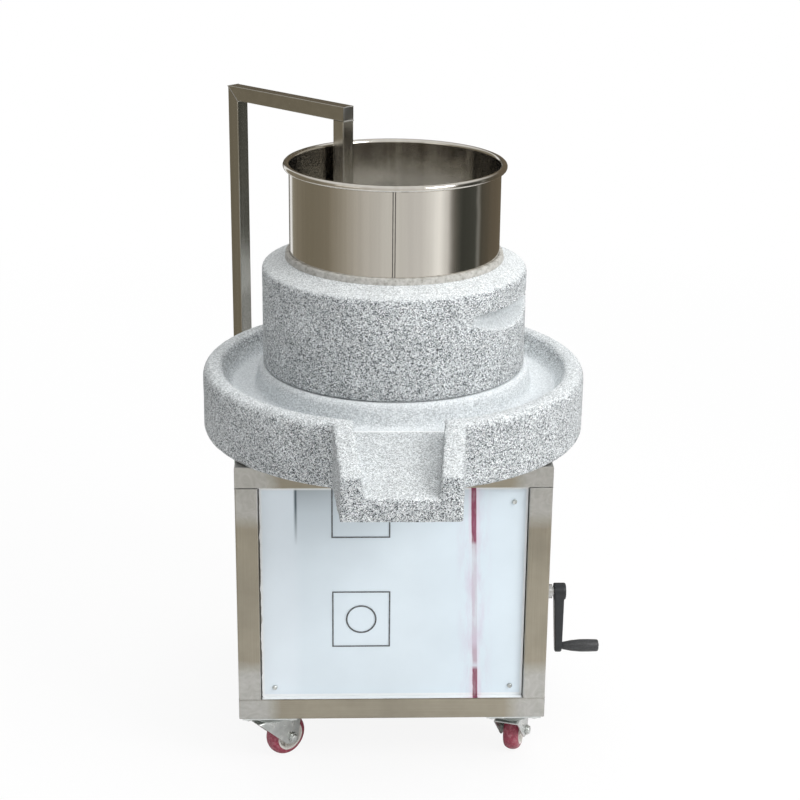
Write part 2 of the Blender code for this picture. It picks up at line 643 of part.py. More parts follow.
def build_drive():
    """Cross in the slot of the upper stone, main shaft under it, and the bush in the stone base."""
    slot_roof = UPPER_BOTTOM + CROSS_THICKNESS
    cross = block("drive_cross", (CROSS_LENGTH, CROSS_WIDTH, CROSS_THICKNESS),
                  (0, 0, slot_roof - CROSS_THICKNESS / 2), IRON)
    hub_length = CROSS_THICKNESS + CROSS_HUB_DROP
    hub = cylinder("cross_hub", CROSS_HUB_RADIUS, hub_length, (0, 0, 1), (0, 0, slot_roof - hub_length / 2), IRON)
    boolean(cross, hub, "UNION")
    depth = slot_roof - CROSS_HUB_CAP - (UPPER_BOTTOM - CROSS_HUB_DROP)
    bore = cylinder("cross_bore", SHAFT_RADIUS + GAP, depth + CUT_OVERRUN, (0, 0, 1),
                    (0, 0, slot_roof - CROSS_HUB_CAP - (depth + CUT_OVERRUN) / 2), None)
    boolean(cross, bore)
    length = SHAFT_TOP - GAP - SHAFT_FOOT_HEIGHT
    cylinder("main_shaft", SHAFT_RADIUS, length, (0, 0, 1), (0, 0, SHAFT_FOOT_HEIGHT + length / 2), BRIGHT_STEEL)
    bush_top = BASE_BOTTOM + BUSH_INSET + BUSH_LENGTH
    outer, inner = BASE_BORE_RADIUS - GAP, SHAFT_RADIUS + RUNNING_GAP
    profile = [(inner, bush_top), (outer, bush_top), (outer, bush_top - BUSH_LENGTH), (inner, bush_top - BUSH_LENGTH)]
    turned("shaft_bush", profile, ROUND_STEPS, BRONZE)


def build_gearbox():
    """Plate under the stone beams, and under it a worm gearbox whose hollow wheel the shaft slides in."""
    plate_top = FRAME_TOP - TUBE_SIDE - GAP
    plate = block("gearbox_plate", (2 * GEARBOX_PLATE_HALF_WIDTH, 2 * GEARBOX_PLATE_HALF_DEPTH,
                                    GEARBOX_PLATE_THICKNESS), (0, 0, plate_top - GEARBOX_PLATE_THICKNESS / 2), STEEL)
    opening = WORM_WHEEL_HUB_RADIUS + RUNNING_GAP
    boolean(plate, cylinder("plate_hole", opening, CUT_OVERRUN * 2, (0, 0, 1), (0, 0, plate_top), None))
    width = GEARBOX_WHEEL_SIDE + GEARBOX_WORM_SIDE
    middle_x = (GEARBOX_WHEEL_SIDE - GEARBOX_WORM_SIDE) / 2
    body_height = GEARBOX_HEIGHT - GEARBOX_WALL - GAP
    bottom = GEARBOX_TOP - GEARBOX_HEIGHT
    body = block("gearbox_housing", (width, 2 * GEARBOX_HALF_DEPTH, body_height),
                 (middle_x, 0, bottom + body_height / 2), GEARBOX_PAINT)
    inside = (width - 2 * GEARBOX_WALL, 2 * (GEARBOX_HALF_DEPTH - GEARBOX_WALL), GEARBOX_HEIGHT)
    boolean(body, block("gearbox_inside", inside, (middle_x, 0, bottom + GEARBOX_WALL + GEARBOX_HEIGHT / 2), None))
    boolean(body, cylinder("housing_hole", opening, CUT_OVERRUN * 2, (0, 0, 1), (0, 0, bottom), None))
    worm_hole = cylinder("worm_hole", WORM_RADIUS + TOOTH_ADDENDUM + RUNNING_GAP, CUT_OVERRUN * 2, (0, 1, 0),
                         (WORM_X, GEARBOX_HALF_DEPTH, GEARBOX_CENTRE), None)
    boolean(body, worm_hole)
    cover = block("gearbox_cover", (width, 2 * GEARBOX_HALF_DEPTH, GEARBOX_WALL),
                  (middle_x, 0, GEARBOX_TOP - GEARBOX_WALL / 2), GEARBOX_PAINT)
    boolean(cover, cylinder("cover_hole", opening, CUT_OVERRUN * 2, (0, 0, 1), (0, 0, GEARBOX_TOP), None))


def build_worm_wheel():
    """Bronze wheel on a hollow hub. Its teeth lean to follow the thread of the worm."""
    half = WORM_WHEEL_THICKNESS / 2
    lean = half * WORM_PITCH / (2 * math.pi * WORM_RADIUS) / WORM_WHEEL_RADIUS
    outline = gear_outline(WORM_WHEEL_RADIUS, WORM_WHEEL_TEETH, 0.115)
    wheel = gear("worm_wheel", outline, ((-half, 1, lean), (half, 1, -lean)), BRONZE, place=(0, 0, GEARBOX_CENTRE))
    hub_length = GEARBOX_HEIGHT - 2 * RUNNING_GAP
    hub = cylinder("wheel_hub", WORM_WHEEL_HUB_RADIUS, hub_length, (0, 0, 1), (0, 0, GEARBOX_CENTRE), BRONZE)
    boolean(wheel, hub, "UNION")
    bore = cylinder("wheel_bore", SHAFT_RADIUS + RUNNING_GAP, GEARBOX_HEIGHT + CUT_OVERRUN, (0, 0, 1),
                    (0, 0, GEARBOX_CENTRE), None)
    boolean(wheel, bore)


def build_worm():
    """Worm thread wound on the motor's shaft."""
    steps = int(WORM_TURNS * SMALL_STEPS)
    tip = WORM_RADIUS + TOOTH_ADDENDUM
    root = WORM_CORE_RADIUS - TOOTH_ADDENDUM / 2
    half_root, half_tip = WORM_PITCH * WORM_ROOT_SHARE, WORM_PITCH * WORM_TIP_SHARE
    bm = bmesh.new()
    rings = []
    for index in range(steps + 1):
        turns = index / SMALL_STEPS - WORM_TURNS / 2
        angle = 2 * math.pi * turns + WORM_PHASE
        forward = turns * WORM_PITCH
        ring = []
        for radius, offset in ((root, -half_root), (tip, -half_tip), (tip, half_tip), (root, half_root)):
            ring.append(bm.verts.new((radius * math.cos(angle), forward + offset, radius * math.sin(angle))))
        rings.append(ring)
    for first, second in zip(rings, rings[1:]):
        for index in range(4):
            after = (index + 1) % 4
            bm.faces.new((first[index], first[after], second[after], second[index]))
    bm.faces.new(rings[0])
    bm.faces.new(rings[-1])
    bmesh.ops.recalc_face_normals(bm, faces=bm.faces)
    worm = object_of("worm_shaft", bm, BRIGHT_STEEL, place=(WORM_X, 0, GEARBOX_CENTRE))
    front = -(GEARBOX_HALF_DEPTH - GEARBOX_WALL - RUNNING_GAP)
    back = GEARBOX_HALF_DEPTH + MOTOR_FLANGE_THICKNESS + MOTOR_LENGTH + FAN_COVER_LENGTH / 2
    shaft = cylinder("worm_core", WORM_CORE_RADIUS, back - front, (0, 1, 0),
                     (WORM_X, (front + back) / 2, GEARBOX_CENTRE), BRIGHT_STEEL)
    boolean(worm, shaft, "UNION")


def build_motor():
    """Finned motor on the rear face of the gearbox, with its fan cover and terminal box."""
    start = GEARBOX_HALF_DEPTH + GAP
    end = start + MOTOR_FLANGE_THICKNESS + MOTOR_LENGTH
    centre = (WORM_X, 0, GEARBOX_CENTRE)
    fin = MOTOR_RADIUS - MOTOR_FIN_DEPTH / 2
    outline = gear_outline(fin, MOTOR_FINS, 0.15, MOTOR_FIN_DEPTH / 2, MOTOR_FIN_DEPTH / 2)
    body = gear("motor_body", outline, ((-end, 1, 0), (-start - MOTOR_FLANGE_THICKNESS / 2, 1, 0)), MOTOR_PAINT, place=centre)
    body.rotation_euler.x = math.radians(90)
    flange = cylinder("motor_flange", MOTOR_FLANGE_RADIUS, MOTOR_FLANGE_THICKNESS, (0, 1, 0),
                      (WORM_X, start + MOTOR_FLANGE_THICKNESS / 2, GEARBOX_CENTRE), MOTOR_PAINT)
    boolean(body, flange, "UNION")
    inside = cylinder("motor_inside", WORM_CORE_RADIUS + RUNNING_GAP, (end + CUT_OVERRUN) * 2, (0, 1, 0),
                      (WORM_X, 0, GEARBOX_CENTRE), None)
    boolean(body, inside)
    outer, inner = MOTOR_RADIUS, MOTOR_RADIUS - FAN_COVER_WALL
    top, low = FAN_COVER_LENGTH, GAP
    cover_end = top - FAN_COVER_WALL
    profile = [(0, top), (outer - FAN_COVER_WALL, top), (outer, cover_end), (outer, low), (inner, low)]
    profile += [(inner, cover_end), (0, cover_end)]
    turned("motor_fan_cover", profile, ROUND_STEPS, MOTOR_PAINT, place=(WORM_X, end, GEARBOX_CENTRE), axis=(0, 1, 0))
    box_x = WORM_X - MOTOR_RADIUS + MOTOR_WALL / 2 - TERMINAL_BOX_SIZE[0] / 2
    box = block("terminal_box", TERMINAL_BOX_SIZE, (box_x, (start + end) / 2, GEARBOX_CENTRE), MOTOR_PAINT)
    boolean(body, box, "UNION")


def build_lift():
    """Bevel gears in a cast housing turn a nut, which raises the screw, the thrust cup and the shaft."""
    low = FLOOR_SHEET_TOP + GAP
    side, wall = LIFT_HOUSING_SIDE, LIFT_HOUSING_WALL
    height = LIFT_HOUSING_TOP - low
    housing = block("lift_housing", (side, side, height), (0, 0, low + height / 2), CAST)
    room = height - wall - LIFT_HOUSING_CAP
    inside = block("lift_inside", (side - 2 * wall, side + CUT_OVERRUN, room), (0, 0, low + wall + room / 2), None)
    boolean(housing, inside)
    top_hole = cylinder("lift_top_hole", LIFT_GEAR_HUB_RADIUS + RUNNING_GAP, CUT_OVERRUN * 2, (0, 0, 1),
                        (0, 0, LIFT_HOUSING_TOP), None)
    boolean(housing, top_hole)
    side_hole = cylinder("lift_side_hole", CRANK_SHAFT_RADIUS + RUNNING_GAP, CUT_OVERRUN * 2, (1, 0, 0),
                         (side / 2, 0, CRANK_HEIGHT), None)
    boolean(housing, side_hole)
    shares = ((1 - LIFT_GEAR_FACE_SHARE, 1 - LIFT_GEAR_FACE_SHARE), (1, 1))
    levels = [(LIFT_GEAR_RADIUS * height_share, scale, 0) for height_share, scale in shares]
    outline = gear_outline(LIFT_GEAR_RADIUS, LIFT_GEAR_TEETH, 0.11, TOOTH_ADDENDUM / 2, TOOTH_DEDENDUM / 2)
    lift_gear = gear("lift_gear", outline, levels, BRIGHT_STEEL, place=(0, 0, CRANK_HEIGHT))
    hub_low = CRANK_HEIGHT + LIFT_GEAR_RADIUS * (1 - LIFT_GEAR_FACE_SHARE / 2)
    hub = cylinder("lift_gear_hub", LIFT_GEAR_HUB_RADIUS, LIFT_GEAR_HUB_LENGTH, (0, 0, 1),
                   (0, 0, hub_low + LIFT_GEAR_HUB_LENGTH / 2), BRIGHT_STEEL)
    boolean(lift_gear, hub, "UNION")
    bore = cylinder("lift_gear_bore", LIFT_SCREW_RADIUS + GAP, LIFT_SCREW_LENGTH * 2, (0, 0, 1),
                    (0, 0, CRANK_HEIGHT), None)
    boolean(lift_gear, bore)
    cup_bottom = SHAFT_FOOT_HEIGHT - 2 * GAP - THRUST_BEARING_HEIGHT - THRUST_CUP_FLOOR
    floor = cup_bottom + THRUST_CUP_FLOOR
    cup_top = floor + THRUST_BEARING_HEIGHT
    inner = THRUST_CUP_RADIUS - THRUST_CUP_WALL
    profile = [(0, floor), (inner, floor), (inner, cup_top), (THRUST_CUP_RADIUS, cup_top)]
    profile += [(THRUST_CUP_RADIUS, cup_bottom), (LIFT_SCREW_RADIUS, cup_bottom)]
    profile += [(LIFT_SCREW_RADIUS, cup_bottom - LIFT_SCREW_LENGTH), (0, cup_bottom - LIFT_SCREW_LENGTH)]
    turned("lift_screw", profile, ROUND_STEPS, BRIGHT_STEEL)
    cylinder("thrust_bearing", inner - GAP, THRUST_BEARING_HEIGHT - GAP, (0, 0, 1),
             (0, 0, floor + GAP + (THRUST_BEARING_HEIGHT - GAP) / 2), BRIGHT_STEEL)


def build_crank():
    """Bevel pinion and shaft on one axis, a boss on the side panel, and outside it the arm with its grip."""
    shares = ((1 - LIFT_GEAR_FACE_SHARE, 1 - LIFT_GEAR_FACE_SHARE), (1, 1))
    levels = [(LIFT_GEAR_RADIUS * height_share, scale, 0) for height_share, scale in shares]
    half_tooth = math.pi / LIFT_GEAR_TEETH
    outline = gear_outline(LIFT_GEAR_RADIUS, LIFT_GEAR_TEETH, 0.11, TOOTH_ADDENDUM / 2, TOOTH_DEDENDUM / 2, half_tooth)
    start = LIFT_GEAR_RADIUS * (1 - LIFT_GEAR_FACE_SHARE / 2)
    end = CRANK_HUB_START + CRANK_HUB_LENGTH - CRANK_SHAFT_RADIUS / 2
    pinion = gear("crank_shaft", outline, levels, BRIGHT_STEEL, place=(0, 0, CRANK_HEIGHT))
    pinion.rotation_euler.y = math.radians(90)
    shaft = cylinder("crank_bar", CRANK_SHAFT_RADIUS, end - start, (1, 0, 0), ((start + end) / 2, 0, CRANK_HEIGHT), BRIGHT_STEEL)
    boolean(pinion, shaft, "UNION")
    panel_x = RIGHT_X - PANEL_RECESS + GAP
    flange = panel_x + PANEL_SHEET * 3
    flange_radius = CRANK_BOSS_RADIUS * 2
    inner = CRANK_SHAFT_RADIUS + RUNNING_GAP
    profile = [(inner, CRANK_BOSS_REACH), (CRANK_BOSS_RADIUS, CRANK_BOSS_REACH), (CRANK_BOSS_RADIUS, flange)]
    profile += [(flange_radius, flange), (flange_radius, panel_x), (inner, panel_x)]
    turned("crank_bearing", profile, ROUND_STEPS, BRIGHT_STEEL, place=(0, 0, CRANK_HEIGHT), axis=(1, 0, 0))


def build_crank_arm():
    """A black casting: round hub, arm that narrows downwards, and a pin for the grip."""
    hub_x = CRANK_HUB_START + CRANK_HUB_LENGTH / 2
    arm = cylinder("crank_arm", CRANK_HUB_RADIUS, CRANK_HUB_LENGTH, (1, 0, 0), (hub_x, 0, CRANK_HEIGHT), BLACK)
    outer_x = CRANK_HUB_START + CRANK_HUB_LENGTH - CRANK_ARM_SINK
    inner_x = outer_x - CRANK_ARM_THICKNESS
    foot_x = outer_x - CRANK_ARM_FOOT_THICKNESS
    foot = CRANK_HEIGHT - CRANK_ARM_LENGTH
    low = [(foot_x, -CRANK_ARM_END_RADIUS, foot), (outer_x, -CRANK_ARM_END_RADIUS, foot),
           (outer_x, CRANK_ARM_END_RADIUS, foot), (foot_x, CRANK_ARM_END_RADIUS, foot)]
    high = [(inner_x, -CRANK_ARM_TOP_RADIUS, CRANK_HEIGHT), (outer_x, -CRANK_ARM_TOP_RADIUS, CRANK_HEIGHT),
            (outer_x, CRANK_ARM_TOP_RADIUS, CRANK_HEIGHT), (inner_x, CRANK_ARM_TOP_RADIUS, CRANK_HEIGHT)]
    boolean(arm, solid_between("crank_web", low, high, BLACK), "UNION")
    eye = cylinder("crank_eye", CRANK_ARM_END_RADIUS, CRANK_ARM_FOOT_THICKNESS, (1, 0, 0),
                   ((foot_x + outer_x) / 2, 0, foot), BLACK)
    boolean(arm, eye, "UNION")
    sunk = CRANK_ARM_FOOT_THICKNESS / 2
    pin = cylinder("grip_pin", GRIP_PIN_RADIUS, GRIP_PIN_LENGTH + sunk, (1, 0, 0),
                   (outer_x + (GRIP_PIN_LENGTH - sunk) / 2, 0, foot), BLACK, steps=SMALL_STEPS)
    boolean(arm, pin, "UNION")
    depth = CRANK_HUB_LENGTH - CRANK_SHAFT_RADIUS / 2 + GAP
    bore = cylinder("crank_hub_bore", CRANK_SHAFT_RADIUS + GAP, depth + CUT_OVERRUN, (1, 0, 0),
                    (CRANK_HUB_START + (depth - CUT_OVERRUN) / 2, 0, CRANK_HEIGHT), None)
    boolean(arm, bore)
    start = outer_x + GAP
    bore_end = start + GRIP_PIN_LENGTH + RUNNING_GAP
    end = CRANK_GRIP_END
    inner = GRIP_PIN_RADIUS + GAP
    swell = (end - start) / 3
    profile = [(0, end), (GRIP_RADIUS * 0.7, end), (GRIP_RADIUS * 0.95, end - GRIP_RADIUS / 5)]
    profile += [(GRIP_RADIUS, end - GRIP_RADIUS / 2), (GRIP_RADIUS, start + swell)]
    profile += [(GRIP_NECK_RADIUS, start + GRIP_RADIUS / 2), (GRIP_NECK_RADIUS, start), (inner, start)]
    profile += [(inner, bore_end), (0, bore_end)]
    turned("crank_grip", profile, ROUND_STEPS, BLACK, place=(0, 0, foot), axis=(1, 0, 0))


def build_arm():
    """Post on the cabinet's rear left corner, beam towards the mill axis, and a drop into the hopper."""
    yaw = math.radians(ARM_YAW)
    forward = Vector((math.cos(yaw), math.sin(yaw), 0))
    half = ARM_SIDE / 2
    sizes = (POLISHED, ARM_SIDE, ARM_WALL, ARM_ROUNDING)
    foot = Vector((ARM_X, ARM_Y, ARM_FOOT))
    corner = Vector((ARM_X, ARM_Y, ARM_TOP - half))
    tip = corner + forward * ARM_REACH
    square_tube("arm_post", foot, corner, forward, *sizes, mitres=(0, 1))
    square_tube("arm_beam", corner, tip, (0, 0, -1), *sizes, mitres=(1, 0))
    drop = corner + forward * (ARM_REACH - half)
    top = (drop.x, drop.y, ARM_TOP - ARM_SIDE)
    square_tube("arm_drop", top, (drop.x, drop.y, ARM_DROP_FOOT), forward, *sizes)


def build_control():
    """Wall box on the left side panel with a start and a stop button."""
    outer_x = LEFT_X + PANEL_RECESS - GAP
    middle = (outer_x - CONTROL_DEPTH / 2, CONTROL_CENTRE_Y, CONTROL_CENTRE_Z)
    case = block("control_box", (CONTROL_DEPTH, CONTROL_WIDTH, CONTROL_HEIGHT), middle, GREY_PLASTIC)
    wall = CONTROL_WALL
    inside = (CONTROL_DEPTH, CONTROL_WIDTH - 2 * wall, CONTROL_HEIGHT - 2 * wall)
    boolean(case, block("control_inside", inside, (middle[0] + wall, middle[1], middle[2]), None))
    face = outer_x - CONTROL_DEPTH
    for name, side, finish in (("start_button", -1, GREEN), ("stop_button", 1, RED)):
        y = CONTROL_CENTRE_Y + side * BUTTON_SPACING / 2
        hole = cylinder(f"{name}_hole", BUTTON_RADIUS + RUNNING_GAP, CUT_OVERRUN, (1, 0, 0), (face, y, CONTROL_CENTRE_Z), None)
        boolean(case, hole)
        head = BUTTON_PROUD / 2
        profile = [(0, BUTTON_PROUD), (BUTTON_HEAD_RADIUS - head / 2, BUTTON_PROUD), (BUTTON_HEAD_RADIUS, head + head / 2)]
        profile += [(BUTTON_HEAD_RADIUS, head), (BUTTON_RADIUS, head), (BUTTON_RADIUS, BUTTON_PROUD - BUTTON_LENGTH)]
        profile += [(0, BUTTON_PROUD - BUTTON_LENGTH)]
        turned(name, profile, ROUND_STEPS, finish, place=(face, y, CONTROL_CENTRE_Z), axis=(-1, 0, 0))


def build_gland():
    """Cable gland in the rear panel. The power cable itself isn't part of this model."""
    face = REAR_Y - PANEL_RECESS + GAP
    nut = GLAND_LENGTH / 3
    profile = [(GLAND_BORE_RADIUS, GLAND_LENGTH), (GLAND_RADIUS * 0.7, GLAND_LENGTH)]
    profile += [(GLAND_RADIUS * 0.85, nut * 2), (GLAND_RADIUS, nut), (GLAND_RADIUS, 0), (GLAND_BORE_RADIUS, 0)]
    turned("cable_gland", profile, SMALL_STEPS, BLACK, place=(GLAND_X, face, GLAND_Z), axis=(0, 1, 0))


def caster_wheel(name, place, heading):
    """Red tread on a pale rim with a hub. Its flats are turned so that one lies on the floor."""
    to_corner = 1 / math.cos(math.pi / WHEEL_FACETS)
    half = WHEEL_WIDTH / 2
    web = WHEEL_WEB_WIDTH / 2
    bore = AXLE_RADIUS + GAP
    outer = WHEEL_RADIUS * to_corner
    crown = outer - WHEEL_CROWN
    profile = [(bore, half), (WHEEL_HUB_RADIUS, half), (WHEEL_HUB_RADIUS, web), (WHEEL_RIM_RADIUS, web)]
    profile += [(WHEEL_RIM_RADIUS, half), (crown, half), (outer, web), (outer, -web), (crown, -half)]
    profile += [(WHEEL_RIM_RADIUS, -half), (WHEEL_RIM_RADIUS, -web), (WHEEL_HUB_RADIUS, -web)]
    profile += [(WHEEL_HUB_RADIUS, -half), (bore, -half)]
    wheel = turned(name, profile, WHEEL_FACETS, TREAD, place=place, phase=math.pi / WHEEL_FACETS)
    wheel.rotation_euler = (math.radians(90), 0, heading)
    return wheel


def caster_fork(name, swivel, heading):
    """Pressed fork: a round race, a bridge with two legs under it, and the axle bolt across them."""
    top = CASTER_HEIGHT - CASTER_PLATE_THICKNESS - 2 * GAP
    race_low = top - CASTER_RACE_HEIGHT
    overlap = FORK_BRIDGE / 2
    fork = turned(name, [(0, top), (CASTER_RACE_RADIUS * 0.8, top), (CASTER_RACE_RADIUS, top - CASTER_RACE_HEIGHT / 3),
                         (CASTER_RACE_RADIUS, race_low), (CASTER_RACE_RADIUS * 0.9, race_low - overlap), (0, race_low - overlap)],
                  ROUND_STEPS, ZINC, place=(*swivel, 0))
    fork.rotation_euler.z = heading
    half = FORK_WIDTH / 2
    foot = WHEEL_RADIUS - FORK_FOOT_RADIUS
    trail = CASTER_TRAIL
    low = [(trail - FORK_FOOT_RADIUS, -half, foot), (trail + FORK_FOOT_RADIUS, -half, foot),
           (trail + FORK_FOOT_RADIUS, half, foot), (trail - FORK_FOOT_RADIUS, half, foot)]
    high = [(-FORK_TOP_FRONT, -half, race_low), (trail + FORK_TOP_BACK, -half, race_low),
            (trail + FORK_TOP_BACK, half, race_low), (-FORK_TOP_FRONT, half, race_low)]
    legs = solid_between(f"{name}_legs", low, high, ZINC, parent=fork)
    boolean(fork, legs, "UNION")
    length = FORK_TOP_FRONT + trail + FORK_TOP_BACK + 2 * CUT_OVERRUN
    slot_top = race_low - FORK_BRIDGE
    slot = block(f"{name}_slot", (length, FORK_WIDTH - 2 * FORK_WALL, slot_top),
                 ((trail + FORK_TOP_BACK - FORK_TOP_FRONT) / 2, 0, slot_top / 2), None, parent=fork)
    boolean(fork, slot)
    bolt = FORK_WIDTH + 2 * AXLE_NUT_LENGTH / 3
    axle = cylinder(f"{name}_axle", AXLE_RADIUS, bolt, (0, 1, 0), (trail, 0, WHEEL_RADIUS), ZINC, parent=fork, steps=SMALL_STEPS)
    boolean(fork, axle, "UNION")
    for side in (-1, 1):
        nut = cylinder(f"{name}_nut_{side + 1}", AXLE_NUT_RADIUS, AXLE_NUT_LENGTH, (0, 1, 0),
                       (trail, side * (half + AXLE_NUT_LENGTH / 2 - FORK_WALL / 2), WHEEL_RADIUS), ZINC, parent=fork, steps=6)
        boolean(fork, nut, "UNION")
    return fork


def build_casters():
    """Four swivel casters. Each trails along its own heading, as the mill was last pushed."""
    xs = {"left": LEFT_X + CASTER_INSET, "right": RIGHT_X - CASTER_INSET}
    ys = {"front": FRONT_Y + CASTER_INSET, "rear": REAR_Y - CASTER_INSET}
    for place, degrees in CASTER_HEADINGS.items():
        row, column = place.split("_")
        x, y = xs[column], ys[row]
        heading = math.radians(degrees)
        block(f"caster_plate_{place}", (CASTER_PLATE_SIDE, CASTER_PLATE_SIDE, CASTER_PLATE_THICKNESS),
              (x, y, CASTER_HEIGHT - GAP - CASTER_PLATE_THICKNESS / 2), ZINC)
        caster_fork(f"caster_fork_{place}", (x, y), heading)
        axle = (x + CASTER_TRAIL * math.cos(heading), y + CASTER_TRAIL * math.sin(heading), WHEEL_RADIUS)
        caster_wheel(f"caster_wheel_{place}", axle, heading)


clear_scene()
MILL = new_collection("stone_grinder")
CUTTERS = new_collection("cutters")
AXIS = bpy.data.objects.new("mill_axis", None)
AXIS.location = (MILL_AXIS_X, MILL_AXIS_Y, 0)
MILL.objects.link(AXIS)

STONE = new_material("granite", (0.52, 0.53, 0.54), 0.85, 0.0)
STEEL = new_material("stainless_tube", (0.48, 0.46, 0.41), 0.30, 1.0)
POLISHED = new_material("polished_stainless", (0.62, 0.60, 0.56), 0.12, 1.0)
PANEL = new_material("panel_film", (0.80, 0.85, 0.89), 0.35, 0.0)
BRIGHT_STEEL = new_material("machined_steel", (0.60, 0.60, 0.60), 0.30, 1.0)
IRON = new_material("drive_iron", (0.20, 0.20, 0.21), 0.50, 1.0)
CAST = new_material("cast_iron", (0.12, 0.12, 0.13), 0.60, 0.6)
BRONZE = new_material("bronze", (0.55, 0.38, 0.18), 0.35, 1.0)
GEARBOX_PAINT = new_material("gearbox_paint", (0.15, 0.25, 0.38), 0.45, 0.0)
MOTOR_PAINT = new_material("motor_paint", (0.20, 0.30, 0.42), 0.45, 0.0)
BLACK = new_material("black_plastic", (0.03, 0.03, 0.035), 0.35, 0.0)
GREY_PLASTIC = new_material("grey_plastic", (0.55, 0.56, 0.57), 0.45, 0.0)
GREEN = new_material("green_button", (0.05, 0.42, 0.12), 0.35, 0.0)
RED = new_material("red_button", (0.60, 0.04, 0.03), 0.35, 0.0)
ZINC = new_material("zinc_plate", (0.66, 0.67, 0.66), 0.30, 1.0)
TREAD = new_material("red_tread", (0.50, 0.05, 0.10), 0.35, 0.0)

build_frame()
build_beams()
build_panels()
build_stone_base()
build_upper_stone()
build_hopper()
build_drive()
build_gearbox()
build_worm_wheel()
build_worm()
build_motor()
build_lift()
build_crank()
build_crank_arm()
build_arm()
build_control()
build_gland()
build_casters()
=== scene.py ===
"""Looks of the stone grinder, section by section in the order in which the mill is put together."""

import math

import bpy
from mathutils import Matrix, Vector


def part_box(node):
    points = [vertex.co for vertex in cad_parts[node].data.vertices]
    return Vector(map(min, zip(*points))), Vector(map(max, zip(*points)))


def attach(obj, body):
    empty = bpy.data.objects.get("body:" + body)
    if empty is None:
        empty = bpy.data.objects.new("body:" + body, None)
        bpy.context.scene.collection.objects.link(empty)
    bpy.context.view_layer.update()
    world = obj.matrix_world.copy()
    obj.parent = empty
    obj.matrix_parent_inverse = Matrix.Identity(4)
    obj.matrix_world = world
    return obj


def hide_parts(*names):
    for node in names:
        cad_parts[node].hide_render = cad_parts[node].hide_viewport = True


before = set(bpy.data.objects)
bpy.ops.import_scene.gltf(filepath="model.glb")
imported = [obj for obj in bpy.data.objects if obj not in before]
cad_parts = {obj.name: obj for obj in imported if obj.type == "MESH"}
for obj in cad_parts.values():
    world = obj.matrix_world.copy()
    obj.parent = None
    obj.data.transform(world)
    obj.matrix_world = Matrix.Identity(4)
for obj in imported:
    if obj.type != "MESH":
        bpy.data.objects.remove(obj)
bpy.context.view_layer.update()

# Camera: the photo was taken from a little above the stones, straight at the front.
# The mill axis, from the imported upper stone, carries every place that follows.
stone_low, stone_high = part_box("upper_stone")
axis_x = (stone_low.x + stone_high.x) / 2
axis_y = (stone_low.y + stone_high.y) / 2
camera_offset = (-0.0998, -3.0353, 1.7002)
camera_pitch = math.radians(19.74)
camera_yaw = math.radians(2.11)
camera_roll = math.radians(0.58)
focal_length = 83.43
sensor_width = 36


def at(x, y, z):
    """A place given from the foot of the mill axis."""
    return Vector((axis_x + x, axis_y + y, z))


def lone(adder, name, **settings):
    """Add one thing with nothing else selected, and name it."""
    bpy.ops.object.select_all(action="DESELECT")
    adder(**settings)
    made = bpy.context.object
    made.name = name
    return made


camera = lone(bpy.ops.object.camera_add, "camera", location=at(*camera_offset))
level_view = (Matrix.Rotation(-camera_yaw, 4, "Z")
              @ Matrix.Rotation(math.pi / 2 - camera_pitch, 4, "X"))
camera.rotation_euler = (level_view @ Matrix.Rotation(camera_roll, 4, "Z")).to_euler()
camera.data.lens = focal_length
camera.data.sensor_width = sensor_width
bpy.context.scene.camera = camera
bpy.context.scene.view_settings.view_transform = "Standard"


# Stage: a plain white floor and a white surround. Polished metal sees the stands and screens of a
# plain studio, and four soft lamps give the light of a bright overcast day from the right.
surround_white = (1.0, 1.0, 1.0)
sky_white = (0.85, 0.85, 0.84)
fill_left = 0.36
fill_right = 0.78
studio_stops = (
    (0.000, (0.74, 0.73, 0.70)), (0.030, (0.72, 0.71, 0.68)), (0.090, (0.60, 0.58, 0.54)),
    (0.150, (0.44, 0.41, 0.35)), (0.210, (0.27, 0.24, 0.185)), (0.290, (0.22, 0.195, 0.145)),
    (0.370, (0.27, 0.24, 0.185)), (0.400, (0.30, 0.28, 0.22)), (0.412, (1.10, 1.10, 1.10)),
    (0.430, (1.00, 1.00, 1.00)), (0.445, (0.12, 0.11, 0.09)), (0.520, (0.16, 0.13, 0.09)),
    (0.640, (0.15, 0.125, 0.09)), (0.715, (0.09, 0.082, 0.064)), (0.728, (0.30, 0.30, 0.28)),
    (0.738, (0.075, 0.077, 0.066)), (0.800, (0.050, 0.052, 0.044)), (0.828, (0.20, 0.19, 0.17)),
    (0.845, (0.80, 0.79, 0.77)), (0.875, (1.15, 1.15, 1.13)), (0.915, (0.82, 0.81, 0.79)),
    (0.960, (0.72, 0.71, 0.69)), (1.000, (0.74, 0.73, 0.70)))


def feed(socket, value):
    """Set a socket to a number, a place or a colour, or lead another node's output into it."""
    if isinstance(value, bpy.types.NodeSocket):
        socket.id_data.links.new(value, socket)
    else:
        coloured = socket.type == "RGBA" and isinstance(value, tuple)
        socket.default_value = (*value, 1) if coloured else value


def node(beside, kind, settings=None, **inputs):
    """Add a shader node in the tree of a socket: its own settings, and its inputs by name."""
    step = beside.id_data.nodes.new(f"ShaderNode{kind}")
    for key, value in (settings or {}).items():
        setattr(step, key, value)
    for key, value in inputs.items():
        feed(step.inputs[key.replace("_", " ")], value)
    return step


def ramp(factor, *stops):
    """A colour ramp over (place, grey or colour) stops."""
    step = node(factor, "ValToRGB", Fac=factor)
    elements = step.color_ramp.elements
    while len(elements) < len(stops):
        elements.new(0.5)
    for element, (place, colour) in zip(elements, stops):
        element.position = place
        element.color = (*colour, 1) if isinstance(colour, tuple) else (colour, colour, colour, 1)
    return step.outputs["Color"]


def first_socket(*values):
    return next(value for value in values if isinstance(value, bpy.types.NodeSocket))


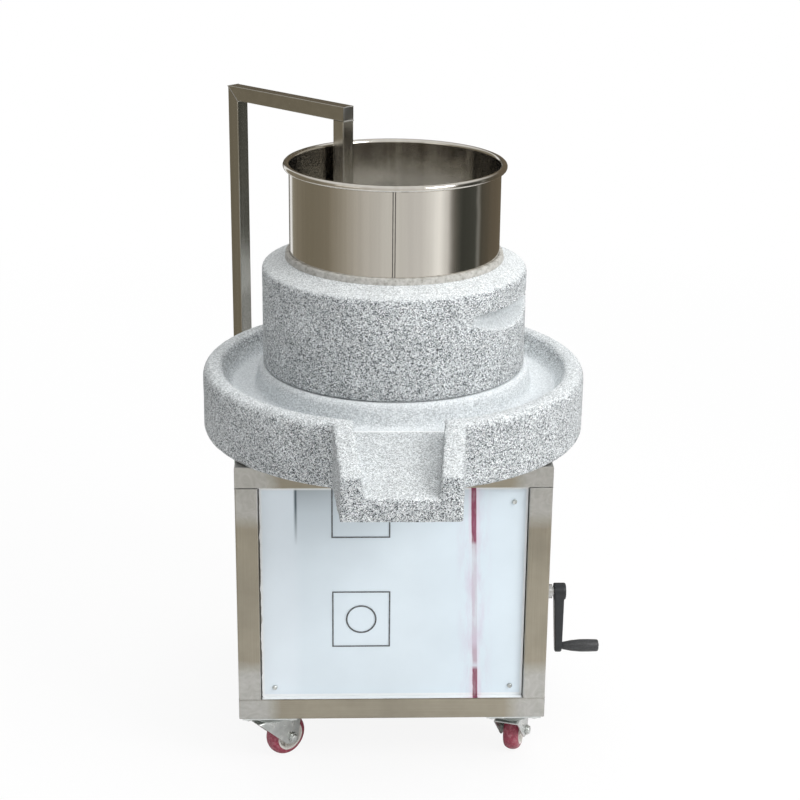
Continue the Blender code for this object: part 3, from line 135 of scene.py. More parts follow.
def mix(factor, first, second, blend="MIX"):
    """Mix two colours, each a colour or the output of another node."""
    step = node(first_socket(factor, first, second), "Mix",
                {"data_type": "RGBA", "blend_type": blend})
    for index, value in ((0, factor), (6, first), (7, second)):
        feed(step.inputs[index], value)
    return step.outputs[2]


def multiplied(first, second):
    return mix(1.0, first, second, "MULTIPLY")


def maths(operation, first, second=0.0):
    step = node(first_socket(first, second), "Math", {"operation": operation})
    feed(step.inputs[0], first)
    feed(step.inputs[1], second)
    return step.outputs[0]


def parts(vector):
    """The X, Y and Z of a vector."""
    return node(vector, "SeparateXYZ", Vector=vector).outputs


def length_of(vector):
    return node(vector, "VectorMath", {"operation": "LENGTH"}, Vector=vector).outputs["Value"]


def as_share(direction_part):
    """A part of a direction, from -1 to 1, as a share from 0 to 1."""
    return maths("ADD", maths("MULTIPLY", direction_part, 0.5), 0.5)


def by_heading(x, y):
    """The studio's tone in the direction of (x, y), all the way round."""
    turn_share = maths("DIVIDE", maths("ARCTAN2", x, y), 2 * math.pi)
    return ramp(maths("ADD", turn_share, 0.5), *studio_stops)


def new_finish(name, **inputs):
    """Start a material: it, its shader with these inputs, and the place on the piece."""
    made = bpy.data.materials.new(name)
    made.use_nodes = True
    shader = made.node_tree.nodes["Principled BSDF"]
    for key, value in inputs.items():
        feed(shader.inputs[key.replace("_", " ")], value)
    return made, shader, node(made.node_tree, "TexCoord").outputs["Object"]


world = bpy.data.worlds.new("surround")
bpy.context.scene.world = world
world.use_nodes = True
world.node_tree.nodes.clear()
heading = parts(node(world.node_tree, "TexCoord").outputs["Generated"])
world_rays = node(world.node_tree, "LightPath").outputs
sky_share = ramp(as_share(heading["Z"]), (0.70, 0.0), (0.86, 1.0))
studio_colour = mix(sky_share, by_heading(heading["X"], heading["Y"]), sky_white)
fill_tone = ramp(as_share(heading["X"]), (0.10, fill_left), (0.90, fill_right))
glossy_light = mix(world_rays["Is Glossy Ray"], fill_tone, studio_colour)
seen_white = maths("MAXIMUM", world_rays["Is Camera Ray"], world_rays["Is Transmission Ray"])
background = node(seen_white, "Background", Color=mix(seen_white, glossy_light, surround_white))
node(seen_white, "OutputWorld", Surface=background.outputs[0])

floor_side = 14.0
floor_edge = floor_side / 2
plain_reach = 0.9
fade_start = 1.6
fade_end = 3.4
floor = lone(bpy.ops.mesh.primitive_plane_add, "floor", size=floor_side, location=at(0, 0, 0))
floor_paint, floor_shader, floor_spot = new_finish(
    "floor_white", Base_Color=(0.92, 0.92, 0.92), Roughness=0.9, Specular_IOR_Level=0.0)
floor_rays = node(floor_spot, "LightPath").outputs
floor_parts = parts(floor_spot)
floor_tone = by_heading(floor_parts["X"], floor_parts["Y"])
reach_share = maths("DIVIDE", length_of(floor_spot), floor_edge)
near_share = ramp(reach_share, (plain_reach / floor_edge, 0.0), (fade_start / floor_edge, 1.0))
camera_share = ramp(reach_share, (fade_start / floor_edge, 0.90), (fade_end / floor_edge, 1.0))
floor_colour = mix(floor_rays["Is Glossy Ray"], surround_white, floor_tone)
floor_glow = node(floor_spot, "Emission", Color=floor_colour)
floor_seen = maths("MULTIPLY", floor_rays["Is Camera Ray"], camera_share)
floor_met = maths("MULTIPLY", floor_rays["Is Glossy Ray"], near_share)
floor_mix = node(floor_spot, "MixShader", Fac=maths("MAXIMUM", floor_seen, floor_met))
feed(floor_mix.inputs[1], floor_shader.outputs[0])
feed(floor_mix.inputs[2], floor_glow.outputs[0])
feed(floor_paint.node_tree.nodes["Material Output"].inputs["Surface"], floor_mix.outputs[0])
floor.data.materials.append(floor_paint)

lamp_aim = at(0, 0, 0.6)
lamp_places = (
    ("key_lamp", (2.3, -2.1, 2.7), 1.5, 66.0),
    ("top_lamp", (0.3, -0.3, 3.4), 1.8, 30.0),
    ("fill_lamp", (-2.6, -2.2, 2.0), 1.6, 4.0),
    ("back_lamp", (-0.6, 2.9, 2.6), 1.8, 24.0),
)
for lamp_name, offset, size, power in lamp_places:
    place = at(*offset)
    lamp_turn = (lamp_aim - place).to_track_quat("-Z", "Y").to_euler()
    lamp = lone(bpy.ops.object.light_add, lamp_name, type="AREA", location=place,
                rotation=lamp_turn)
    lamp.data.size = size
    lamp.data.energy = power
    lamp.visible_glossy = lamp_name not in ("top_lamp", "back_lamp")


# Cabinet frame: square stainless tube, cut at 45 degrees and welded, then belt ground along each
# tube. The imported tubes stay. They only get their finish, with the grinding lines along the tube.
def noise(spot, **inputs):
    """The grey of a noise pattern at a place."""
    return node(spot, "TexNoise", Vector=spot, **inputs).outputs["Fac"]


def stretched(spot, along, coarse, fine):
    """Places scaled so that a pattern runs in lines along one axis."""
    scale = tuple(coarse if axis == along else fine for axis in "XYZ")
    return node(spot, "Mapping", Vector=spot, Scale=scale).outputs[0]


def coat(shader, colour, roughness=None, height=None, strength=0.1, distance=0.001):
    """Lead a colour, a roughness and a bump of some height pattern into a shader."""
    feed(shader.inputs["Base Color"], colour)
    if roughness is not None:
        feed(shader.inputs["Roughness"], roughness)
    if height is not None:
        bump = node(height, "Bump", Strength=strength, Distance=distance, Height=height)
        feed(shader.inputs["Normal"], bump.outputs[0])


def tinted(colour, share):
    """A colour made lighter or darker by a share."""
    return tuple(min(1.0, part * share) for part in colour)


def ground_steel(name, colour, roughness, along, tone_spread=0.10, ends=None):
    """Stainless steel ground along one axis, and cross ground paler over the welds at its ends."""
    made, shader, spot = new_finish(name, Metallic=1.0)
    lines = noise(stretched(spot, along, 6.0, 900.0), Scale=1.0, Detail=4.0, Roughness=0.6)
    clouds = noise(spot, Scale=9.0, Detail=4.0, Roughness=0.6)
    cloudy = ramp(clouds, (0.35, tinted(colour, 1 - tone_spread)),
                  (0.65, tinted(colour, 1 + tone_spread)))
    lined = mix(0.35, cloudy, ramp(lines, (0.3, 0.55), (0.7, 1.0)), "MULTIPLY")
    if ends:
        place_along = parts(spot)[along]
        from_low = maths("SUBTRACT", place_along, ends[0])
        from_high = maths("SUBTRACT", ends[1], place_along)
        ragged = maths("MULTIPLY", maths("SUBTRACT", clouds, 0.5), 0.03)
        from_end = maths("ADD", maths("MINIMUM", from_low, from_high), ragged)
        weld_share = ramp(maths("DIVIDE", from_end, 0.10), (0.46, 0.90), (0.72, 0.0))
        swirls = noise(spot, Scale=48.0, Detail=5.0, Distortion=2.5)
        dressed = ramp(swirls, (0.30, (0.43, 0.425, 0.40)), (0.70, (0.53, 0.525, 0.505)))
        lined = mix(weld_share, lined, dressed)
    coat(shader, lined, ramp(lines, (0.3, roughness * 0.8), (0.7, roughness * 1.25)),
         lines, 0.12, 0.0004)
    return made


def dress(node_name, made):
    """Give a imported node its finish."""
    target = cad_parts[node_name]
    target.data.materials.clear()
    target.data.materials.append(made)


tube_colour = (0.37, 0.335, 0.265)
frame_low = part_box("post_front_left")[0]
frame_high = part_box("post_rear_right")[1]
tube_finish = {
    axis: ground_steel(f"ground_tube_{axis.lower()}", tube_colour, 0.34, axis, ends=(low, high))
    for axis, low, high in zip("XYZ", frame_low, frame_high)}
for level in ("top", "bottom"):
    for place in ("front", "rear"):
        dress(f"{level}_rail_{place}", tube_finish["X"])
    for place in ("left", "right"):
        dress(f"{level}_rail_{place}", tube_finish["Y"])
for place in ("front_left", "front_right", "rear_left", "rear_right"):
    dress(f"post_{place}", tube_finish["Z"])
for beam_name in ("stone_beam_front", "stone_beam_rear", "floor_sheet", "gearbox_plate"):
    dress(beam_name, tube_finish["X"])
dress("lift_beam", tube_finish["Y"])


# Floor sheet, rear and side panels: thin stainless sheet, folded back at the edges, closing the
# cabinet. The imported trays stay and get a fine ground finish. The rear one has the motor's vents.
sheet_finish = ground_steel("sheet_steel", (0.56, 0.56, 0.55), 0.36, "Z", 0.05)
for panel_name in ("rear_panel", "left_panel", "right_panel"):
    dress(panel_name, sheet_finish)


# Front panel: the same folded sheet, still under the pale blue film that it was delivered with.
# Three small pan head screws hold it, and the film's left edge was torn back by hand.
tolerance = 0.0001
upright = (math.pi / 2, 0, 0)


def alone(made):
    """Select one piece and nothing else."""
    bpy.ops.object.select_all(action="DESELECT")
    made.select_set(True)
    bpy.context.view_layer.objects.active = made
    return made


def edit(made, select="SELECT"):
    """Open a piece in edit mode, with all of it selected or none."""
    alone(made)
    bpy.ops.object.mode_set(mode="EDIT")
    bpy.ops.mesh.select_all(action=select)


def pick(made, kind, test):
    """Select the faces, edges or points that pass a test, by place or normal."""
    bpy.ops.object.mode_set(mode="OBJECT")
    groups = {"points": made.data.vertices, "edges": made.data.edges, "faces": made.data.polygons}
    for group in groups.values():
        group.foreach_set("select", [False] * len(group))
    for element in groups[kind]:
        element.select = test(element)
    bpy.context.tool_settings.mesh_select_mode = [kind == name for name in groups]
    bpy.ops.object.mode_set(mode="EDIT")


def close(made):
    bpy.ops.object.mode_set(mode="OBJECT")
    return made


def edge_middle(made, edge):
    first, second = (made.data.vertices[index].co for index in edge.vertices)
    return (first + second) / 2


def modify(made, kind, **settings):
    """Add a modifier and apply it at once."""
    step = alone(made).modifiers.new(kind.title(), kind)
    for key, value in settings.items():
        setattr(step, key, value)
    bpy.ops.object.modifier_apply(modifier=step.name)
    return made


def clouds_of(name, scale, depth=2):
    """A cloud pattern for waves and lumps of one size."""
    made = bpy.data.textures.new(name, "CLOUDS")
    made.noise_scale = scale
    made.noise_depth = depth
    return made


def rippled(made, pattern, strength, middle=0.5, **settings):
    return modify(made, "DISPLACE", texture=pattern, texture_coords="GLOBAL", strength=strength,
                  mid_level=middle, **settings)


def settle(made):
    """Put a piece's place and turn into its mesh, so that its object stands at the origin."""
    alone(made)
    bpy.ops.object.transform_apply(location=True, rotation=True, scale=True)
    return made


def smooth(made, degrees=35.0):
    alone(made)
    bpy.ops.object.shade_smooth_by_angle(angle=math.radians(degrees))
    return made


def block(name, place, size, turn=(0, 0, 0)):
    """A box of some size, with its middle at a place."""
    return settle(lone(bpy.ops.mesh.primitive_cube_add, name, size=1, location=place, scale=size,
                       rotation=turn))


def sheet(name, columns, rows, place, width, height, turn=(0, 0, 0)):
    """A flat grid of faces. The grid tool takes no scale, so it is given afterwards."""
    made = lone(bpy.ops.mesh.primitive_grid_add, name, x_subdivisions=columns,
                y_subdivisions=rows, size=1, location=place, rotation=turn)
    made.scale = (width, height, 1)
    return settle(made)


def cut(made, other, operation="DIFFERENCE"):
    """Boolean with another piece, which is used up."""
    modify(made, "BOOLEAN", object=other, operation=operation, solver="EXACT")
    bpy.data.objects.remove(other, do_unlink=True)
    return made


def copy_of(pattern, name):
    """A copy of a piece, with its own mesh."""
    made = bpy.data.objects.new(name, pattern.data.copy())
    bpy.context.scene.collection.objects.link(made)
    return made


def handed(made, body, finish, slot, *nodes):
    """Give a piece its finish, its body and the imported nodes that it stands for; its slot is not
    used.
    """
    made.data.materials.clear()
    made.data.materials.append(finish)
    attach(made, body)
    if nodes:
        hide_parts(*nodes)
    return made


def turned(name, profile, steps, place=(0, 0, 0), axis=(0, 0, 1), closed=False):
    """Turn a piece on the lathe: a ring for each (radius, height), down its outer side."""
    least = 0.0001
    radius, height = profile[0]
    made = settle(lone(bpy.ops.mesh.primitive_circle_add, name, vertices=steps,
                       radius=max(radius, least), location=(0, 0, height)))
    bpy.context.tool_settings.mesh_select_mode = (True, False, False)
    edit(made)
    for new_radius, new_height in profile[1:]:
        bpy.ops.mesh.extrude_region_move(
            TRANSFORM_OT_translate={"value": (0, 0, new_height - height)})
        scale = max(new_radius, least) / max(radius, least)
        bpy.ops.transform.resize(value=(scale, scale, 1), center_override=(0, 0, new_height))
        radius, height = new_radius, new_height
    if closed:
        bpy.ops.mesh.select_all(action="SELECT")
        bpy.ops.mesh.remove_doubles(threshold=0.00002)
    else:
        for end_radius, end_height in (profile[0], profile[-1]):
            pick(made, "points", lambda point, end=end_height, reach=max(end_radius, least): (
                abs(point.co.z - end) < 0.00001 and abs(point.co.xy.length - reach) < 0.00005))
            if end_radius < 2 * least:
                bpy.ops.mesh.merge(type="CENTER")
            else:
                bpy.ops.mesh.edge_face_add()
    bpy.ops.mesh.select_all(action="SELECT")
    bpy.ops.mesh.normals_make_consistent(inside=False)
    close(made)
    made.rotation_euler = Vector((0, 0, 1)).rotation_difference(Vector(axis)).to_euler()
    made.location = place
    return settle(made)


def arc(centre_radius, centre_height, radius, start, end, count):
    """Profile points along an arc, in degrees from outwards towards up."""
    turns = [math.radians(start + (end - start) * index / count) for index in range(count + 1)]
    return [(centre_radius + radius * math.cos(a), centre_height + radius * math.sin(a))
            for a in turns]


panel_low, panel_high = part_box("front_panel")
top_gap = 0.0013
panel_high.z -= top_gap
panel_face = panel_low.y
panel_size = panel_high - panel_low
panel_middle = (panel_low + panel_high) / 2
fold_radius = 0.0015
sheet_thickness = 0.0012

front_tray = block("front_tray", panel_middle, panel_size)
edit(front_tray, "DESELECT")
pick(front_tray, "faces", lambda face: face.normal.y > 0.5)
bpy.ops.mesh.delete(type="ONLY_FACE")
pick(front_tray, "edges",
     lambda edge: edge_middle(front_tray, edge).y < panel_middle.y - tolerance)
bpy.ops.mesh.bevel(offset=fold_radius, segments=4, affect="EDGES")
close(front_tray)
modify(front_tray, "SOLIDIFY", thickness=sheet_thickness, offset=-1, use_even_offset=True)
smooth(front_tray)
handed(front_tray, "cabinet", sheet_finish, "panel_film", "front_panel")

film_stand_off = 0.00035
film_thickness = 0.00012
film_inset = 0.0007
film_torn_inset = 0.0014
film_width = panel_size.x - film_inset - film_torn_inset
film_height = panel_size.z - 2 * film_inset
film_centre_x = (panel_low.x + film_torn_inset + panel_high.x - film_inset) / 2
film_left = film_centre_x - film_width / 2
film_bottom = panel_middle.z - film_height / 2
film_top = film_bottom + film_height
film_middle = (film_centre_x, panel_face - film_stand_off, panel_middle.z)
film = sheet("panel_film", 110, 96, film_middle, film_width, film_height, upright)
edit(film)
bpy.ops.mesh.normals_make_consistent(inside=False)
close(film)
torn_edge = film.vertex_groups.new(name="torn_edge")
torn_edge.add([point.index for point in film.data.vertices
               if point.co.x < film_left + tolerance], 1.0, "REPLACE")
tear = clouds_of("film_tear", 0.016)
rippled(film, tear, 0.0055, direction="X", vertex_group="torn_edge")
rippled(film, clouds_of("film_wrinkles", 0.16), 0.0006, 0.75)
modify(film, "SOLIDIFY", thickness=film_thickness, offset=-1)
smooth(film, 60)

film_finish, film_shader, film_spot = new_finish(
    "blue_film", Roughness=0.30, Specular_IOR_Level=0.35)
film_place = parts(film_spot)
across = maths("DIVIDE", maths("SUBTRACT", film_place["X"], film_left), film_width)
up_share = maths("DIVIDE", maths("SUBTRACT", film_place["Z"], film_bottom), film_height)
# The film's pale blue, with its left strip painted lighter as painted light where the stone's shade
# falls.
film_tint_and_light = ramp(
    across, (0.00, (0.80, 0.88, 0.94)), (0.12, (0.79, 0.87, 0.93)), (0.16, (0.76, 0.85, 0.91)),
    (0.55, (0.77, 0.86, 0.92)), (0.80, (0.75, 0.85, 0.92)), (1.00, (0.78, 0.88, 0.95)))
film_clouds = noise(film_spot, Scale=7.0, Detail=3.0, Roughness=0.5)
film_colour = multiplied(film_tint_and_light, ramp(film_clouds, (0.3, 0.93), (0.7, 1.0)))

# The film's top, right of a crease near its left edge, is painted darker as painted shade under the
# spout. The crease gets a painted dark line of shade, and the edges get painted highlights.
crease_across = 0.1330
crease_shade_dark = (0.045, 0.075, 0.095)
painted_shade_grey = (0.40, 0.45, 0.48)
edge_highlight_white = (0.93, 0.95, 0.96)
# Painted shade under the spout: darker towards the top, right of the crease.
shade_beside_crease = ramp(across, (crease_across - 0.001, 0.0), (crease_across, 1.0), (0.44, 0.45),
                     (0.60, 0.2))
shade_level_up = ramp(up_share, (0.72, 0.0), (0.88, 0.35), (1.00, 1.0))
film_colour = mix(multiplied(shade_beside_crease, shade_level_up), film_colour, painted_shade_grey)
# Painted shade along the crease, darker towards the top.
crease_shade_line = ramp(across, (crease_across - 0.0050, 0.0), (crease_across - 0.0030, 1.0),
                   (crease_across + 0.0030, 1.0), (crease_across + 0.0060, 0.0))
crease_shade_level = ramp(up_share, (0.73, 0.0), (0.84, 0.60), (0.92, 1.0))
film_colour = mix(multiplied(crease_shade_line, crease_shade_level), film_colour, crease_shade_dark)
# Painted highlights along the film's side, top and bottom edges.
side_edge_highlight = ramp(across, (0.005, 0.9), (0.010, 0.0), (0.990, 0.0), (0.995, 0.9))
film_colour = mix(side_edge_highlight, film_colour, edge_highlight_white)
level_edge_highlight = ramp(up_share, (0.006, 0.9), (0.012, 0.0), (0.988, 0.0), (0.993, 0.8))
film_colour = mix(level_edge_highlight, film_colour, edge_highlight_white)

# A worn red stripe runs down its right part, with a pink blush and a violet smear beside it.
stripe_x = axis_x + 0.1280
stripe_width = 0.0080
stripe_lean = 0.0107
stripe_sway = 0.004
blush_reach = 0.011
smear_reach = 0.034
stripe_red = (0.20, 0.010, 0.042)
blush_pink = (0.92, 0.62, 0.74)
smear_violet = (0.60, 0.35, 0.52)
drawn_down = node(film_spot, "Mapping", Vector=film_spot, Scale=(1.0, 1.0, 0.22)).outputs[0]
smears = noise(drawn_down, Scale=60.0, Detail=5.0, Roughness=0.65)
sway = maths("MULTIPLY", maths("SUBTRACT", smears, 0.5), stripe_sway)
lean_here = maths("MULTIPLY", maths("SUBTRACT", 1.0, up_share), stripe_lean)
past_stripe = maths("SUBTRACT", maths("SUBTRACT", film_place["X"], stripe_x), lean_here)
from_stripe = maths("ABSOLUTE", maths("ADD", past_stripe, sway))
stripe_core = ramp(maths("DIVIDE", from_stripe, stripe_width), (0.45, 1.0), (0.58, 0.0))
stripe_level = ramp(
    up_share, (0.00, 0.95), (0.125, 0.95), (0.145, 0.10), (0.17, 0.45), (0.22, 0.45),
    (0.26, 0.22), (0.45, 0.24), (0.66, 0.20), (0.73, 0.35), (0.75, 0.97), (1.00, 1.0))
worn = ramp(smears, (0.36, 0.62), (0.50, 1.0))
blush = ramp(maths("DIVIDE", from_stripe, blush_reach), (0.30, 0.40), (1.0, 0.0))
film_colour = mix(multiplied(blush, stripe_level), film_colour, blush_pink)
stripe_share = multiplied(multiplied(stripe_core, stripe_level), worn)
film_colour = mix(stripe_share, film_colour, stripe_red)
smear_core = ramp(maths("DIVIDE", from_stripe, smear_reach), (0.20, 0.30), (0.95, 0.0))
smear_share = multiplied(smear_core, ramp(smears, (0.42, 0.0), (0.66, 1.0)))
film_colour = mix(smear_share, film_colour, smear_violet)
coat(film_shader, film_colour, None, film_clouds, 0.25, 0.002)
handed(film, "cabinet", film_finish, "panel_film")

# Its foot lies folded forward on the bottom rail.
rail_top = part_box("bottom_rail_front")[1].z
foot_reach = panel_face - frame_low.y - 0.0006
foot_rise = 0.0045
foot_middle = (film_centre_x, panel_face - foot_reach / 2, rail_top + 0.0005)
film_foot = sheet("film_foot", 90, 2, foot_middle, film_width, foot_reach)
edit(film_foot, "DESELECT")
pick(film_foot, "edges", lambda edge: edge_middle(film_foot, edge).y > panel_face - tolerance)
bpy.ops.mesh.extrude_region_move(
    TRANSFORM_OT_translate={"value": (0, -film_stand_off, foot_rise)})
close(film_foot)
rippled(film_foot, tear, 0.0012, 0.4, direction="Y")
modify(film_foot, "SOLIDIFY", thickness=film_thickness, offset=1)
smooth(film_foot, 60)
handed(film_foot, "cabinet", film_finish, "panel_film")

# Two plain squares are printed on it in dark ink, with a ring in the lower one.
ink_finish, ink_shader, ink_spot = new_finish("film_ink", Roughness=0.5)
ink_worn = noise(ink_spot, Scale=240.0, Detail=3.0)
coat(ink_shader, ramp(ink_worn, (0.35, (0.060, 0.065, 0.070)), (0.75, (0.16, 0.17, 0.18))))
print_width = 0.098
print_height = 0.1036
print_line = 0.0022
print_thickness = 0.0001
print_stand_off = 0.0009
ring_radius = 0.026
low_print = (-0.0575, 0.241)
high_print = (-0.0585, 0.443)


def on_panel(x, z, stand_off):
    """A place in front of the panel, given from the mill axis."""
    return Vector((axis_x + x, panel_face - stand_off, z))


def printed(made, line):
    """Keep a thin outline of a flat shape, as far up as the film goes."""
    settle(made)
    edit(made)
    bpy.ops.mesh.inset(thickness=line, depth=0)
    bpy.ops.mesh.delete(type="FACE")
    pick(made, "faces", lambda face: face.center.z > film_top)
    bpy.ops.mesh.delete(type="FACE")
    close(made)
    for point in made.data.vertices:
        point.co.z = min(point.co.z, film_top)
    modify(made, "SOLIDIFY", thickness=print_thickness, offset=0)
    handed(made, "cabinet", ink_finish, "panel_film")


for print_name, (centre_x, bottom_z) in (
        ("print_square_low", low_print), ("print_square_high", high_print)):
    print_middle = on_panel(centre_x, bottom_z + print_width / 2, print_stand_off)
    square = lone(bpy.ops.mesh.primitive_plane_add, print_name, size=print_width,
                  location=print_middle, rotation=upright)
    square.scale = (1, print_height / print_width, 1)
    printed(square, print_line)
ring_middle = on_panel(low_print[0], low_print[1] + print_width / 2, print_stand_off)
printed(lone(bpy.ops.mesh.primitive_circle_add, "print_ring_low", vertices=48,
             radius=ring_radius, fill_type="NGON", location=ring_middle, rotation=upright),
        print_line * 1.2)

zinc_finish, zinc_shader, zinc_spot = new_finish("bright_zinc", Metallic=1.0)
zinc_clouds = noise(zinc_spot, Scale=70.0, Detail=4.0)
coat(zinc_shader, ramp(zinc_clouds, (0.3, (0.55, 0.57, 0.56)), (0.7, (0.74, 0.76, 0.74))),
     ramp(zinc_clouds, (0.3, 0.42), (0.7, 0.24)))

screw_radius = 0.0045
screw_sink = 0.0005
slot_length = 0.0056
slot_width = 0.0009
slot_middle = (0, -0.0028, 0)
screw_profile = [(0, 0.0022)] + arc(0, 0, screw_radius, 60, 20, 4)[1:]
screw_profile += [(screw_radius, 0.0008), (screw_radius, -screw_sink), (0, -screw_sink)]
screw_head = turned("panel_screw", screw_profile, 20, axis=(0, -1, 0))
cut(screw_head, block("screw_slot", slot_middle, (slot_length, 0.002, slot_width)))
cut(screw_head, block("screw_slot_across", slot_middle, (slot_width, 0.002, slot_length)))
smooth(screw_head)
for index, (x, z) in enumerate(((0.1965, 0.5045), (-0.205, 0.1615), (0.198, 0.1620))):
    screw = copy_of(screw_head, f"panel_screw_{index + 1}")
    screw.location = on_panel(x, z, film_stand_off + screw_sink)
    settle(screw)
    handed(screw, "cabinet", zinc_finish, "zinc_plate")
bpy.data.objects.remove(screw_head, do_unlink=True)


# Stone base: trough, raised lower stone and spout, all carved from one block of pale speckled
# granite. The sides are bush hammered and keep their dark grains, while the trough is ground
# smooth and dusty. Faces that look up are painted paler too, partly as dust and partly as
# painted light from above.
def granite(name, seed=0.0, top_dust_and_light=0.45, trough=None, pocket=None):
    """Grains of white, grey and black, rough cut, smoother and paler where ground, with painted top
    light.
    """
    made, shader, spot = new_finish(name, Roughness=0.85, Specular_IOR_Level=0.25)
    shifted = node(spot, "Mapping", Vector=spot, Location=(seed, seed, seed)).outputs[0]
    grains = node(shifted, "TexVoronoi", Scale=720.0, Vector=shifted).outputs["Color"]
    grain_value = node(grains, "SeparateColor", Color=grains).outputs[0]
    grain_tone = ramp(
        grain_value, (0.00, (0.020, 0.023, 0.026)), (0.14, (0.07, 0.078, 0.084)),
        (0.28, (0.32, 0.342, 0.354)), (0.55, (0.55, 0.582, 0.598)),
        (0.78, (0.80, 0.832, 0.846)), (1.00, (0.99, 1.00, 1.00)))
    fine = noise(shifted, Scale=1000.0, Detail=3.0, Roughness=0.7)
    speckle = mix(0.45, grain_tone, ramp(fine, (0.38, 0.52), (0.60, 1.16)), "MULTIPLY")
    drift = noise(shifted, Scale=22.0, Detail=4.0, Roughness=0.55)
    colour = mix(0.6, speckle, ramp(drift, (0.35, 0.82), (0.65, 1.06)), "MULTIPLY")
    facing_up = parts(node(spot, "NewGeometry").outputs["Normal"])["Z"]
    # Faces that look up are painted paler: stone dust, and painted light from above.
    colour = mix(ramp(facing_up, (0.30, 0.0), (0.95, top_dust_and_light)), colour, (0.88, 0.915, 0.925))
    centred = node(spot, "Mapping", Vector=spot, Location=(-axis_x, -axis_y, 0)).outputs[0]
    place_on = parts(centred)
    level = node(centred, "VectorMath", {"operation": "MULTIPLY"}, Vector=centred)
    level.inputs[1].default_value = (1, 1, 0)
    reach = length_of(level.outputs[0])
    if trough:
        dusty_radius, chute_line, line_half = trough
        inside = ramp(maths("DIVIDE", reach, dusty_radius), (0.94, 0.50), (1.0, 0.0))
        forward = maths("MULTIPLY", place_on["Y"], -1.0)
        behind_line = maths("LESS_THAN", forward, chute_line)
        beside_chute = maths("GREATER_THAN", maths("ABSOLUTE", place_on["X"]), line_half)
        dust_share = maths("MULTIPLY", inside, maths("MAXIMUM", behind_line, beside_chute))
        colour = mix(dust_share, colour, (0.84, 0.882, 0.905))
        # A pale line is painted along the edge where the chute's slope begins: a painted edge
        # highlight, and wear.
        from_line = maths("ABSOLUTE", maths("SUBTRACT", forward, chute_line))
        near_line = ramp(maths("DIVIDE", from_line, 0.004), (0.30, 0.60), (0.75, 0.0))
        highlight_and_wear_share = maths("MULTIPLY", near_line, maths("SUBTRACT", 1.0, beside_chute))
        colour = mix(highlight_and_wear_share, colour, (0.97, 0.98, 0.98))
    if pocket:
        pocket_reach, pocket_height = pocket
        cut_in = maths("LESS_THAN", reach, pocket_reach)
        cut_below = maths("LESS_THAN", place_on["Z"], pocket_height)
        cut_share = maths("MULTIPLY", maths("MULTIPLY", cut_in, cut_below), 0.55)
        colour = mix(cut_share, colour, (0.58, 0.615, 0.63))
    pits = noise(shifted, Scale=330.0, Detail=3.0, Roughness=0.6)
    coat(shader, colour, None, pits, 0.55, 0.0012)
    return made


def wedge(name, low_face, high_face, place=at):
    """A block with each corner set in place: four below, four above, the same way round."""
    made = lone(bpy.ops.mesh.primitive_cube_add, name, size=2)
    corner_of = {(-1, -1): 0, (1, -1): 1, (1, 1): 2, (-1, 1): 3}
    for point in made.data.vertices:
        face = low_face if point.co.z < 0 else high_face
        point.co = place(*face[corner_of[(round(point.co.x), round(point.co.y))]])
    return made


def front_to_back(front, back):
    """Four corners from the half width, place and height of a face's front and of its back."""
    (front_half, front_y, front_z), (back_half, back_y, back_z) = front, back
    return [(-front_half, front_y, front_z), (front_half, front_y, front_z),
            (back_half, back_y, back_z), (-back_half, back_y, back_z)]


def in_to_out(inner, outer, half):
    """Four corners from the place and height of a face's inner and outer side."""
    (inner_x, inner_z), (outer_x, outer_z) = inner, outer
    return [(inner_x, -half, inner_z), (outer_x, -half, outer_z),
            (outer_x, half, outer_z), (inner_x, half, inner_z)]


def weathered(made, voxel, wander):
    """Round off a carved block's edges and give its surfaces the slight waves of hand work."""
    modify(made, "REMESH", mode="VOXEL", voxel_size=voxel, adaptivity=0.0)
    modify(made, "SMOOTH", factor=0.5, iterations=2)
    rippled(made, clouds_of(f"{made.name}_waves", 0.03, 3), wander)
    return smooth(made, 50)


base_low, base_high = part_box("stone_base")
base_bottom = base_low.z
base_radius = 0.3275
base_corner = 0.0040
rim_top = 0.682
rim_rounding = 0.0160
rim_inner = 0.3030
rim_inner_rounding = 0.0100
trough_floor = 0.6455
trough_outer = 0.2745
platform_top = base_high.z
platform_radius = 0.232
platform_foot = 0.237
bore_radius = 0.036
base_profile = [(bore_radius, platform_top), (platform_radius - 0.006, platform_top)]
base_profile += [(platform_radius - 0.001, platform_top - 0.004)]
base_profile += [(platform_radius + 0.001, platform_top - 0.009)]
base_profile += [(platform_foot, trough_floor + 0.004), (platform_foot + 0.004, trough_floor)]
base_profile += [(trough_outer, trough_floor), (trough_outer + 0.0050, trough_floor + 0.003)]
base_profile += [(trough_outer + 0.0170, rim_top - 0.0125)]
base_profile += arc(rim_inner, rim_top - rim_inner_rounding, rim_inner_rounding, 160, 90, 4)
base_profile += arc(base_radius - rim_rounding, rim_top - rim_rounding, rim_rounding, 90, 0, 6)
base_profile += arc(base_radius - base_corner, base_bottom + base_corner, base_corner, 0, -90, 3)
base_profile += [(bore_radius, base_bottom), (bore_radius, platform_top)]
carved_base = turned("carved_base", base_profile, 160, at(0, 0, 0), closed=True)

spout_front = 0.4447
spout_half = 0.094
spout_root = -0.3055
spout_root_half = 0.106
spout_top_front = 0.645
spout_low = front_to_back((spout_half, -spout_front, base_bottom),
                          (spout_root_half, spout_root, base_bottom))
spout_high = front_to_back((spout_half, -spout_front, spout_top_front),
                           (spout_root_half, spout_root, rim_top))
cut(carved_base, wedge("spout_block", spout_low, spout_high), "UNION")

